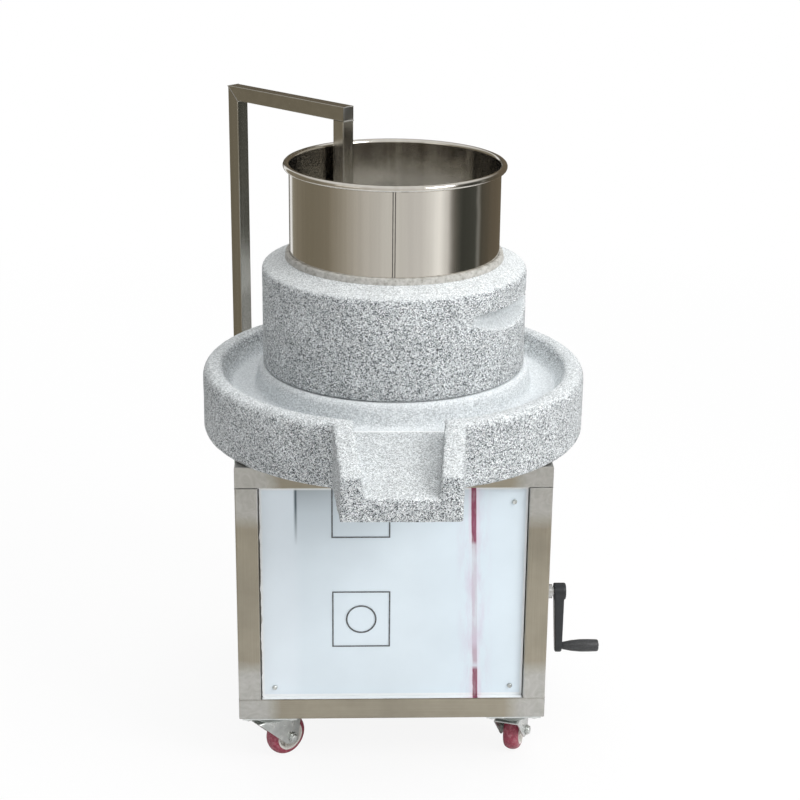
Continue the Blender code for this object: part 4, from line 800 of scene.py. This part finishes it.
chute_start = 0.248
chute_half = 0.0750
chute_lip_half = 0.058
chute_flare = 0.003
lip_height = 0.609
over = 0.020
chute_length = spout_front - chute_start
chute_fall = (trough_floor - lip_height) / chute_length
chute_front_half = chute_lip_half - (chute_half - chute_lip_half) / chute_length * over
chute_low = front_to_back((chute_front_half, -spout_front - over, lip_height - chute_fall * over),
                          (chute_half, -chute_start, trough_floor))
chute_high = front_to_back((chute_front_half + chute_flare, -spout_front - over, rim_top + over),
                           (chute_half + chute_flare, -chute_start, rim_top + over))
cut(carved_base, wedge("chute_cutter", chute_low, chute_high))
weathered(carved_base, voxel=0.0040, wander=0.0012)
dusty_radius = 0.292
dusty_half = 0.082
base_granite = granite("granite_base", top_dust_and_light=0.32,
                       trough=(dusty_radius, chute_start, dusty_half))
handed(carved_base, "cabinet", base_granite, "granite", "stone_base")


# Upper stone: the turning stone, with a shoulder, a low neck and two hand pockets cut on a chord.
# It carries a slot underneath for the drive cross, and a bowl and feed hole under the hopper.
upper_radius = 0.224
upper_bottom = stone_low.z
upper_edge = upper_bottom + 0.172
shoulder_rounding = 0.006
upper_corner = 0.002
neck_foot = upper_edge + 0.012
neck_top = stone_high.z
neck_radius = 0.184
bare_neck = neck_radius - 0.002
bowl_radius = 0.166
feed_radius = 0.045
bowl_foot = neck_top - 0.034
hopper_low, hopper_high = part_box("hopper")
hopper_radius = 0.1774
bed_height = hopper_low.z - 0.0003
stone_profile = [(feed_radius, bowl_foot), (bowl_radius, bed_height)]
stone_profile += [(bare_neck, bed_height), (bare_neck, neck_foot + 0.002)]
stone_profile += [(neck_radius + 0.003, neck_foot - 0.0003)]
stone_profile += arc(upper_radius - shoulder_rounding, upper_edge - shoulder_rounding,
                     shoulder_rounding, 76, 0, 4)
stone_profile += arc(upper_radius - upper_corner, upper_bottom + upper_corner, upper_corner,
                     0, -90, 2)
stone_profile += [(feed_radius, upper_bottom), (feed_radius, bowl_foot)]
turning_stone = turned("turning_stone", stone_profile, 160, at(0, 0, 0), closed=True)

cross_slot_size = (0.1306, 0.0266)
cross_slot_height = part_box("drive_cross")[1].z - upper_bottom + 0.0003
cut(turning_stone, block("cross_slot", at(0, 0, upper_bottom),
                         (*cross_slot_size, 2 * cross_slot_height)))
weathered(turning_stone, voxel=0.0036, wander=0.0009)

pocket_azimuth = 60.0
pocket_half_angle = math.radians(28.0)
pocket_over = 0.020
pocket_chord = upper_radius * math.cos(pocket_half_angle)
pocket_half = upper_radius * math.sin(pocket_half_angle) + pocket_over
pocket_outer = upper_radius + pocket_over
pocket_top = upper_bottom + 0.134
pocket_sill = pocket_top - 0.016
sill_fall = 0.024 * (pocket_outer - pocket_chord) / (upper_radius - pocket_chord)
pocket_low = in_to_out((pocket_chord, pocket_sill), (pocket_outer, pocket_sill - sill_fall),
                       pocket_half)
pocket_high = in_to_out((pocket_chord, pocket_top), (pocket_outer, pocket_top), pocket_half)
for side, azimuth in (("front", pocket_azimuth), ("back", pocket_azimuth + 180)):
    pocket = wedge(f"pocket_{side}", pocket_low, pocket_high)
    edit(pocket)
    bpy.ops.transform.rotate(value=-math.radians(azimuth - 90), orient_axis="Z",
                             center_override=at(0, 0, 0))
    close(pocket)
    cut(turning_stone, pocket)
smooth(turning_stone, 38)
upper_granite = granite("granite_upper", seed=3.0, top_dust_and_light=0.46,
                        pocket=(upper_radius - 0.0035, pocket_top + 0.0008))
handed(turning_stone, "mill", upper_granite, "granite", "upper_stone")

# Mortar, smeared over the neck by hand, seals the joint to the hopper.
seal_finish, seal_shader, seal_spot = new_finish("seal_mortar", Roughness=0.75)
seal_clouds = noise(seal_spot, Scale=140.0, Detail=5.0, Roughness=0.6)
seal_colour = ramp(seal_clouds, (0.30, (0.27, 0.26, 0.23)), (0.50, (0.47, 0.46, 0.43)),
                   (0.75, (0.62, 0.61, 0.58)))
coat(seal_shader, seal_colour, None, seal_clouds, 0.4, 0.001)
seal_inner = hopper_radius + 0.0004
seal_outer = neck_radius - 0.0015
seal_foot = hopper_low.z + 0.0002
seal_rounding = 0.0025
seal_profile = [(seal_inner, neck_top + 0.0005)]
seal_profile += arc(neck_radius - seal_rounding, neck_top - 0.0020, seal_rounding, 90, 0, 3)
seal_profile += [(neck_radius + 0.0010, neck_foot + 0.001), (seal_outer, neck_foot - 0.001)]
seal_profile += [(seal_outer, seal_foot), (seal_inner, seal_foot), seal_profile[0]]
neck_seal = turned("neck_seal", seal_profile, 128, at(0, 0, 0), closed=True)
rippled(neck_seal, clouds_of("seal_lumps", 0.02), 0.0006)
smooth(neck_seal, 50)
handed(neck_seal, "mill", seal_finish, "granite")


# Hopper: stainless sheet rolled into a cylinder, welded up the front, its mouth rolled over a
# wire. It stands in a rebate in the stone's neck, bedded in mortar.
def polished_steel(name, colour, roughness, along, waves=0.15):
    """Near mirror stainless steel with faint rolling lines and shallow waves."""
    made, shader, spot = new_finish(name, Metallic=1.0)
    lines = noise(stretched(spot, along, 1.5, 90.0), Scale=1.0, Detail=3.0, Roughness=0.5)
    dents = noise(spot, Scale=11.0, Detail=2.0)
    coat(shader, ramp(lines, (0.3, tinted(colour, 0.95)), (0.7, tinted(colour, 1.04))),
         ramp(lines, (0.3, roughness), (0.7, roughness * 1.5)), dents, waves, 0.004)
    return made


hopper_wall = 0.0012
hopper_inner = hopper_radius - hopper_wall
bead_radius = 0.0055
bead_height = hopper_high.z - bead_radius
bead_centre = hopper_inner + bead_radius
hopper_profile = [(hopper_inner, bead_height)]
hopper_profile += arc(bead_centre, bead_height, bead_radius, 170, -150, 14)
hopper_profile += [(hopper_radius, bead_height - bead_radius * 0.9)]
hopper_profile += [(hopper_radius, hopper_low.z), (hopper_inner, hopper_low.z)]
hopper_profile += [(hopper_inner, bead_height)]
rolled_hopper = turned("rolled_hopper", hopper_profile, 160, at(0, 0, 0), closed=True)
smooth(rolled_hopper, 40)
hopper_steel = polished_steel("hopper_steel", (0.66, 0.63, 0.58), 0.10, "Z")
handed(rolled_hopper, "mill", hopper_steel, "polished_stainless", "hopper")

seam_azimuth = -2.15
seam_spread = 0.62
seam_radius = 0.0009
seam_reach = hopper_radius - 0.0003
seam_low = neck_top + 0.001
seam_high = bead_height - bead_radius
ripple = clouds_of("weld_ripple", 0.004)
weld_finish = ground_steel("weld_metal", (0.42, 0.40, 0.37), 0.38, "Z")
seam_finish = ground_steel("seam_metal", (0.17, 0.16, 0.15), 0.45, "Z")
for side, spread in (("left", -seam_spread), ("right", seam_spread)):
    turn = math.radians(seam_azimuth + spread)
    seam_middle = at(seam_reach * math.sin(turn), -seam_reach * math.cos(turn),
                     (seam_low + seam_high) / 2)
    seam = settle(lone(bpy.ops.mesh.primitive_cylinder_add, f"hopper_seam_{side}", vertices=12,
                       radius=seam_radius, depth=seam_high - seam_low, location=seam_middle))
    edit(seam)
    bpy.ops.mesh.subdivide(number_cuts=24)
    close(seam)
    rippled(seam, ripple, 0.0004)
    smooth(seam, 60)
    handed(seam, "mill", seam_finish, "polished_stainless")


# Hopper arm: square stainless tube in three lengths, mitred at the post's head, polished, not
# ground. It is welded to the cabinet's rear left corner and hangs down into the hopper.
arm_colour = (0.56, 0.54, 0.49)
arm_finish = polished_steel("arm_steel", arm_colour, 0.16, "Z", 0.3)
beam_finish = polished_steel("beam_steel", arm_colour, 0.16, "X", 0.3)
dress("arm_post", arm_finish)
dress("arm_drop", arm_finish)
dress("arm_beam", beam_finish)


def weld(name, points, thickness, finish):
    """A bead of weld metal along a line of points."""
    path = bpy.data.curves.new(name, "CURVE")
    path.dimensions = "3D"
    path.bevel_depth = thickness / 2
    path.bevel_resolution = 2
    path.use_fill_caps = True
    run = path.splines.new("POLY")
    run.points.add(len(points) - 1)
    for point, place in zip(run.points, points):
        point.co = (*place, 1)
    made = bpy.data.objects.new(name, path)
    bpy.context.scene.collection.objects.link(made)
    alone(made)
    bpy.ops.object.convert(target="MESH")
    rippled(made, ripple, thickness * 0.3)
    smooth(made, 60)
    return handed(made, "cabinet", finish, "stainless_tube")


def eased(made, width):
    """Take the sharpness off the hard edges."""
    return modify(made, "BEVEL", width=width, segments=2, limit_method="ANGLE",
                  angle_limit=math.radians(40))


arm_half = 0.025 / 2
mitre_bead = 0.0020
corner_bead = 0.0034
arm_turn = math.radians(-45)
arm_forward = Vector((math.cos(arm_turn), math.sin(arm_turn), 0))
arm_across = Vector((arm_forward.y, -arm_forward.x, 0))
arm_up = Vector((0, 0, arm_half))
post_low, post_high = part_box("arm_post")
arm_corner = (post_low + post_high) / 2
arm_corner.z = post_high.z - arm_half
outside = arm_up - arm_forward * arm_half
for side in (-1, 1):
    beside = arm_corner + arm_across * side * arm_half
    weld(f"arm_mitre_weld_{side + 2}", [beside + outside, beside - outside], mitre_bead,
         weld_finish)
bright_weld = ground_steel("bright_weld", (0.72, 0.71, 0.68), 0.42, "Z", 0.05)
inner_half = arm_across * arm_half * 0.9
inner_middle = arm_corner - outside
weld("arm_corner_weld", [inner_middle - inner_half, inner_middle + inner_half], corner_bead,
     bright_weld)

cap_side = 2 * arm_half - 0.0018
cap_thickness = 0.0014
cap_sink = 0.0008
drop_low, drop_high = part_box("arm_drop")
arm_end = (drop_low + drop_high) / 2
arm_end.z = arm_corner.z
arm_end += arm_forward * arm_half
arm_cap = block("arm_cap", arm_end - arm_forward * cap_sink,
                (cap_thickness, cap_side, cap_side), (0, 0, arm_turn))
eased(arm_cap, 0.0004)
smooth(arm_cap)
cap_finish = polished_steel("cap_steel", (0.30, 0.295, 0.28), 0.30, "Z")
handed(arm_cap, "cabinet", cap_finish, "stainless_tube")
cap_half = arm_across * arm_half * 0.94
for place, level, thickness in (("top", arm_half - cap_sink, 0.0018), ("foot", -arm_half, 0.0030)):
    middle = arm_end + Vector((0, 0, level))
    weld(f"arm_cap_weld_{place}", [middle - cap_half, middle + Vector((0, 0, 0.0006)),
                                   middle + cap_half], thickness, bright_weld)


# Frame welds: a thin bead round each corner of the cabinet, where post and rails meet, ground
# almost flush. It is the same stainless as the tube, paler where it was dressed.
tube_side = 0.038
weld_rise = 0.00015
joint_bead = 0.0008
joint_finish = ground_steel("joint_weld", (0.50, 0.495, 0.475), 0.36, "Z", 0.05)
for side, edge_x, inward in (("left", frame_low.x, 1), ("right", frame_high.x, -1)):
    for end, edge_y, forward in (("front", frame_low.y, 1), ("rear", frame_high.y, -1)):
        for level, joint_z, outward in (("foot", frame_low.z, -1), ("head", frame_high.z, 1)):
            corner = Vector((edge_x, edge_y, joint_z + outward * weld_rise))
            along_side = corner + Vector((0, forward * tube_side, 0))
            weld(f"joint_weld_{side}_{end}_{level}", [
                corner + Vector((inward * tube_side, 0, 0)), corner, along_side,
                along_side + Vector((0, 0, outward * tube_side))], joint_bead, joint_finish)


# Crank: a black enamelled casting on the lift shaft's end, with a loose plastic grip on a pin.
# The shaft comes out of the side panel through a turned steel bearing.
def gloss_black(name, colour, roughness, grain):
    """Black enamel or plastic with a fine skin."""
    made, shader, spot = new_finish(name)
    skin = noise(spot, Scale=grain, Detail=3.0)
    coat(shader, ramp(skin, (0.4, colour), (0.8, tinted(colour, 1.8))),
         ramp(skin, (0.3, roughness), (0.8, roughness * 1.4)), skin, 0.12, 0.0005)
    return made


crank_finish = gloss_black("crank_enamel", (0.014, 0.016, 0.018), 0.30, 420.0)
grip_finish = gloss_black("grip_plastic", (0.035, 0.036, 0.038), 0.36, 300.0)
crank_height = 0.2413
crank_throw = 0.110
crank_foot = crank_height - crank_throw
hub_start = axis_x + 0.294
hub_length = 0.022
hub_radius = 0.0155
shaft_radius = 0.0084
shaft_depth = 0.0180
web_top_in = 0.2945
web_foot_in = 0.2995
web_out = 0.3125
web_top_half = 0.0145
web_foot_half = 0.0115
eye_radius = 0.0115
casting_rounding = 0.003
hub_profile = [(0, hub_length)] + arc(hub_radius - casting_rounding,
                                      hub_length - casting_rounding, casting_rounding, 90, 0, 4)
hub_profile += arc(hub_radius - 0.0015, 0.0015, 0.0015, 0, -90, 3)
hub_profile += [(shaft_radius, 0), (shaft_radius, shaft_depth), (0, shaft_depth)]
crank_hub = turned("crank_casting", hub_profile, 48, (hub_start, axis_y, crank_height),
                   axis=(1, 0, 0))
cut(crank_hub, wedge(
    "crank_web", in_to_out((web_foot_in, crank_foot), (web_out, crank_foot), web_foot_half),
    in_to_out((web_top_in, crank_height), (web_out, crank_height), web_top_half)), "UNION")
eye_length = web_out - web_foot_in
eye_edge = eye_radius - casting_rounding
eye_profile = [(0, eye_length)]
eye_profile += arc(eye_edge, eye_length - casting_rounding, casting_rounding, 90, 0, 3)
eye_profile += arc(eye_edge, casting_rounding, casting_rounding, 0, -90, 3) + [(0, 0)]
cut(crank_hub, turned("crank_eye", eye_profile, 32, (axis_x + web_foot_in, axis_y, crank_foot),
                      axis=(1, 0, 0)), "UNION")
modify(crank_hub, "REMESH", mode="VOXEL", voxel_size=0.0009, adaptivity=0.0)
modify(crank_hub, "SMOOTH", factor=0.5, iterations=8)
smooth(crank_hub, 60)
handed(crank_hub, "crank", crank_finish, "black_plastic", "crank_arm")

grip_low, grip_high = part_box("crank_grip")
grip_length = grip_high.x - grip_low.x
grip_profile = [(0, grip_length)] + arc(0.0078, grip_length - 0.0032, 0.0032, 90, 0, 4)
grip_profile += [(radius, grip_length * share) for radius, share in (
    (0.0115, 0.72), (0.0114, 0.50), (0.0098, 0.25), (0.0078, 0.10), (0.0070, 0.03),
    (0.0062, 0), (0, 0))]
grip = turned("turned_grip", grip_profile, 40, (grip_low.x, axis_y, crank_foot), axis=(1, 0, 0))
smooth(grip, 50)
handed(grip, "crank_grip", grip_finish, "black_plastic", "crank_grip")
pin_profile = [(0, 0.0012)] + arc(0.0032, 0, 0.0012, 60, 0, 2) + [(0.0044, -0.002), (0, -0.002)]
pin_end = turned("grip_pin_head", pin_profile, 20, (grip_high.x, axis_y, crank_foot),
                 axis=(1, 0, 0))
smooth(pin_end)
handed(pin_end, "crank_grip", zinc_finish, "zinc_plate")


# Casters: swivel casters of pressed zinc plated steel, each on a plate under the frame.
# The fork hangs from a ball race and carries a red polyurethane tyre on a pale nylon wheel.
def in_place(x, y, z):
    return Vector((x, y, z))


def mirrored(half, middle=()):
    """Half a profile, what stands in its middle, and the same half turned down."""
    return [*half, *middle] + [(radius, -height) for radius, height in reversed(half)]


def tyre_red(name, colour, roughness):
    """Cast polyurethane: deep colour, a soft gloss, and paler scuffs from rolling."""
    made, shader, spot = new_finish(name, Coat_Weight=0.35, Coat_Roughness=0.15)
    scuffs = noise(spot, Scale=170.0, Detail=5.0, Roughness=0.7)
    pale = tuple(part + (0.62 - part) * 0.28 for part in colour)
    coat(shader, ramp(scuffs, (0.30, tinted(colour, 0.55)), (0.50, colour), (0.74, pale)),
         ramp(scuffs, (0.35, roughness), (0.75, roughness * 1.9)))
    return made


def moulded(name, colour, roughness):
    """Plastic straight from the mould: a faint skin and slight staining."""
    made, shader, spot = new_finish(name, Roughness=roughness)
    skin = noise(spot, Scale=260.0, Detail=3.0)
    stain = noise(spot, Scale=24.0, Detail=3.0)
    coat(shader, ramp(stain, (0.35, tinted(colour, 0.82)), (0.60, colour)), None,
         skin, 0.10, 0.0004)
    return made


tread_finish = tyre_red("tread_red", (0.33, 0.034, 0.070), 0.30)
core_finish = moulded("wheel_cream", (0.86, 0.83, 0.78), 0.42)
wheel_radius = 0.0375
caster_trail = 0.032
caster_top = 0.105
wheel_place = (caster_trail, 0, wheel_radius)

tread_half = [(0.0262, 0.0136), (0.0298, 0.0135), (0.0322, 0.0126), (0.0341, 0.0109),
              (0.0356, 0.0085), (0.0367, 0.0056), (0.0373, 0.0026)]
tread_profile = mirrored(tread_half, [(wheel_radius, 0.0)]) + [tread_half[0]]
core_half = [(0.0053, 0.0150), (0.0108, 0.0150), (0.0120, 0.0138), (0.0128, 0.0048),
             (0.0208, 0.0048), (0.0224, 0.0132), (0.0234, 0.0142), (0.0262, 0.0142)]
core_profile = mirrored(core_half) + [core_half[0]]
tread = turned("caster_tread", tread_profile, 64, wheel_place, axis=(0, 1, 0), closed=True)
core = turned("caster_core", core_profile, 64, wheel_place, axis=(0, 1, 0), closed=True)
rib_reach = 0.0168
rib_offset = 0.0068
rib_size = (0.0110, 0.0060, 0.0016)
for index in range(6):
    turn = math.radians(60 * index + 12)
    for side in (-1, 1):
        rib_middle = (caster_trail + rib_reach * math.cos(turn), side * rib_offset,
                      wheel_radius + rib_reach * math.sin(turn))
        cut(core, block("core_rib", rib_middle, rib_size, (0, -turn, 0)), "UNION")
smooth(tread, 40)
smooth(core, 35)

fork_half = 0.022
fork_foot = 0.0265
race_low = 0.0887
fork_opening = (0.136, 0.039, 0.0980)
opening_height = 0.0365
fork = wedge("caster_fork", in_to_out((0.021, fork_foot), (0.043, fork_foot), fork_half),
             in_to_out((-0.042, race_low), (0.052, race_low), fork_half), in_place)
edit(fork, "DESELECT")
pick(fork, "edges", lambda edge: (
    edge_middle(fork, edge).z < fork_foot + 0.0005 and abs(edge_middle(fork, edge).y) < 0.001))
bpy.ops.mesh.bevel(offset=0.0085, segments=6, affect="EDGES")
pick(fork, "edges", lambda edge: (
    abs(edge_middle(fork, edge).z - race_low) < tolerance
    and abs(abs(edge_middle(fork, edge).y) - fork_half) < tolerance))
bpy.ops.mesh.bevel(offset=0.0045, segments=4, affect="EDGES")
close(fork)
cut(fork, block("fork_slot", (caster_trail, 0, opening_height), fork_opening))
eased(fork, 0.0006)
smooth(fork, 35)

dish_profile = [(0, 0.0968), (0.0172, 0.0968), (0.0196, 0.0960), (0.0230, 0.0938),
                (0.0300, 0.0910), (0.0338, 0.0894), (0.0345, 0.0884), (0.0338, 0.0875),
                (0.0290, 0.0880), (0, 0.0888)]
dish = turned("caster_dish", dish_profile, 48)
race_profile = [(0, 0.1005), (0.0225, 0.1005), (0.0236, 0.0996), (0.0236, 0.0982),
                (0.0226, 0.0971), (0, 0.0971)]
race = turned("caster_race", race_profile, 48)
nut_half = [(0, 0.0292)] + arc(0.0050, 0.0264, 0.0026, 80, 0, 3)
nut_half += [(0.0076, 0.0252), (0.0092, 0.0249), (0.0092, 0.0223), (0.0050, 0.0221)]
axle = turned("caster_axle", mirrored(nut_half), 24, wheel_place, axis=(0, 1, 0))
for made in (dish, race, axle):
    smooth(made, 35)
bolt_profile = [(0, 0.0), (0.0058, 0.0), (0.0062, -0.0008), (0.0062, -0.0034),
                (0.0056, -0.0044), (0, -0.0044)]
bolt_head = turned("plate_bolt", bolt_profile, 6)
smooth(bolt_head, 20)

bolt_reach = 0.037
bolt_level = caster_top - 0.0045
caster_places = {
    "front_left": (-0.2145, -0.164, 40), "front_right": (0.2065, -0.164, 72),
    "rear_left": (-0.2145, 0.257, 125), "rear_right": (0.2065, 0.257, 60)}
caster_kit = (
    (tread, "wheel", tread_finish, "red_tread", "caster_wheel"),
    (core, "wheel", core_finish, "red_tread", None),
    (fork, "fork", zinc_finish, "zinc_plate", "caster_fork"),
    (dish, "fork", zinc_finish, "zinc_plate", None),
    (axle, "fork", zinc_finish, "zinc_plate", None),
    (race, "cabinet", zinc_finish, "zinc_plate", None))
for place, (x, y, degrees) in caster_places.items():
    for pattern, carrier, finish, slot_name, node_start in caster_kit:
        made = copy_of(pattern, f"{pattern.name}_{place}")
        made.location = at(x, y, 0)
        made.rotation_euler.z = math.radians(degrees)
        settle(made)
        body = "cabinet" if carrier == "cabinet" else f"{carrier}_{place}"
        replaced = [f"{node_start}_{place}"] if node_start else []
        handed(made, body, finish, slot_name, *replaced)
    dress(f"caster_plate_{place}", zinc_finish)
    for index, (side, row) in enumerate(((-1, -1), (1, -1), (-1, 1), (1, 1))):
        bolt = copy_of(bolt_head, f"plate_bolt_{place}_{index + 1}")
        bolt.location = at(x + side * bolt_reach, y + row * bolt_reach, bolt_level)
        settle(bolt)
        handed(bolt, "cabinet", zinc_finish, "zinc_plate")
for pattern in (tread, core, fork, dish, axle, race, bolt_head):
    bpy.data.objects.remove(pattern, do_unlink=True)


# Control box: a moulded box on the left side panel, low enough to clear the stone above it.
# Its green button starts the motor, and the red one stops it.
box_low, box_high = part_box("control_box")
box_middle = (box_low + box_high) / 2
box_finish = moulded("box_grey", (0.46, 0.47, 0.48), 0.45)
case = block("control_case", box_middle, box_high - box_low)
edit(case, "DESELECT")
pick(case, "edges", lambda edge: abs(edge_middle(case, edge).x - box_middle.x) < tolerance)
bpy.ops.mesh.bevel(offset=0.006, segments=5, affect="EDGES")
pick(case, "faces", lambda face: face.normal.x < -0.9)
for inset, depth in ((0.0018, 0), (0.0008, -0.0008), (0.0006, 0.0014)):
    bpy.ops.mesh.inset(thickness=inset, depth=depth)
close(case)
button_radius = 0.011
button_gap = 0.0007
collar_radius = 0.0130
hole_depth = 0.030
button_looks = {"start_button": ("green_button", (0.035, 0.33, 0.085)),
                "stop_button": ("red_button", (0.50, 0.030, 0.022))}
button_boxes = {name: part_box(name) for name in button_looks}
for name, (low, high) in button_boxes.items():
    hole_middle = (box_low.x, (low.y + high.y) / 2, (low.z + high.z) / 2)
    cut(case, lone(bpy.ops.mesh.primitive_cylinder_add, f"{name}_hole", vertices=48,
                   radius=button_radius + button_gap, depth=hole_depth, location=hole_middle,
                   rotation=(0, math.pi / 2, 0)))
eased(case, 0.0004)
smooth(case, 35)
handed(case, "cabinet", box_finish, "grey_plastic", "control_box")
for name, (slot_name, colour) in button_looks.items():
    low, high = button_boxes[name]
    length = high.x - low.x
    button_profile = [(0, length - 0.0012), (0.0070, length - 0.0010)]
    button_profile += arc(0.0105, length - 0.0022, 0.0022, 100, 0, 4)
    button_profile += [(collar_radius, length - 0.0040), (button_radius, length - 0.0042)]
    button_profile += [(button_radius, 0), (0, 0)]
    button_foot = (high.x, (low.y + high.y) / 2, (low.z + high.z) / 2)
    button = turned(f"{name}_cap", button_profile, 48, button_foot, axis=(-1, 0, 0))
    smooth(button, 35)
    handed(button, name, moulded(f"{name}_plastic", colour, 0.30), slot_name, name)


# Cable gland and the parts behind the panels: gearbox, motor, lift and shafts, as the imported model
# has them. They are painted castings, bright turned steel and bronze. Some of them show through the
# rear vents and the open underside.
def painted(name, colour, roughness, grain):
    """Brushed enamel over a casting, a little chipped."""
    made, shader, spot = new_finish(name)
    skin = noise(spot, Scale=grain, Detail=4.0, Roughness=0.6)
    chips = noise(spot, Scale=grain * 0.35, Detail=6.0, Roughness=0.75)
    enamel = ramp(skin, (0.35, tinted(colour, 0.78)), (0.65, colour))
    coat(shader, mix(ramp(chips, (0.70, 0.0), (0.73, 1.0)), enamel, (0.20, 0.19, 0.18)),
         ramp(skin, (0.3, roughness), (0.7, roughness * 1.3)), skin, 0.30, 0.0008)
    return made


turned_steel = {axis: polished_steel(f"turned_steel_{axis.lower()}", (0.56, 0.56, 0.55), 0.22, axis)
                for axis in "XYZ"}
bronze_finish = polished_steel("cast_bronze", (0.55, 0.36, 0.15), 0.30, "Z")
cast_finish = painted("cast_iron_oiled", (0.055, 0.056, 0.060), 0.55, 220.0)
gearbox_finish = painted("gearbox_enamel", (0.045, 0.105, 0.190), 0.38, 160.0)
motor_finish = painted("motor_enamel", (0.070, 0.130, 0.210), 0.38, 180.0)
gland_finish = moulded("gland_nylon", (0.030, 0.030, 0.032), 0.42)
inner_looks = (
    (turned_steel["Z"], "main_shaft", "lift_screw", "lift_gear", "thrust_bearing"),
    (turned_steel["X"], "crank_shaft", "crank_bearing"),
    (turned_steel["Y"], "worm_shaft"),
    (bronze_finish, "worm_wheel", "shaft_bush"),
    (cast_finish, "lift_housing", "drive_cross"),
    (gearbox_finish, "gearbox_housing", "gearbox_cover"),
    (motor_finish, "motor_body", "motor_fan_cover"),
    (gland_finish, "cable_gland"))
for finish, *node_names in inner_looks:
    for node_name in node_names:
        dress(node_name, finish)
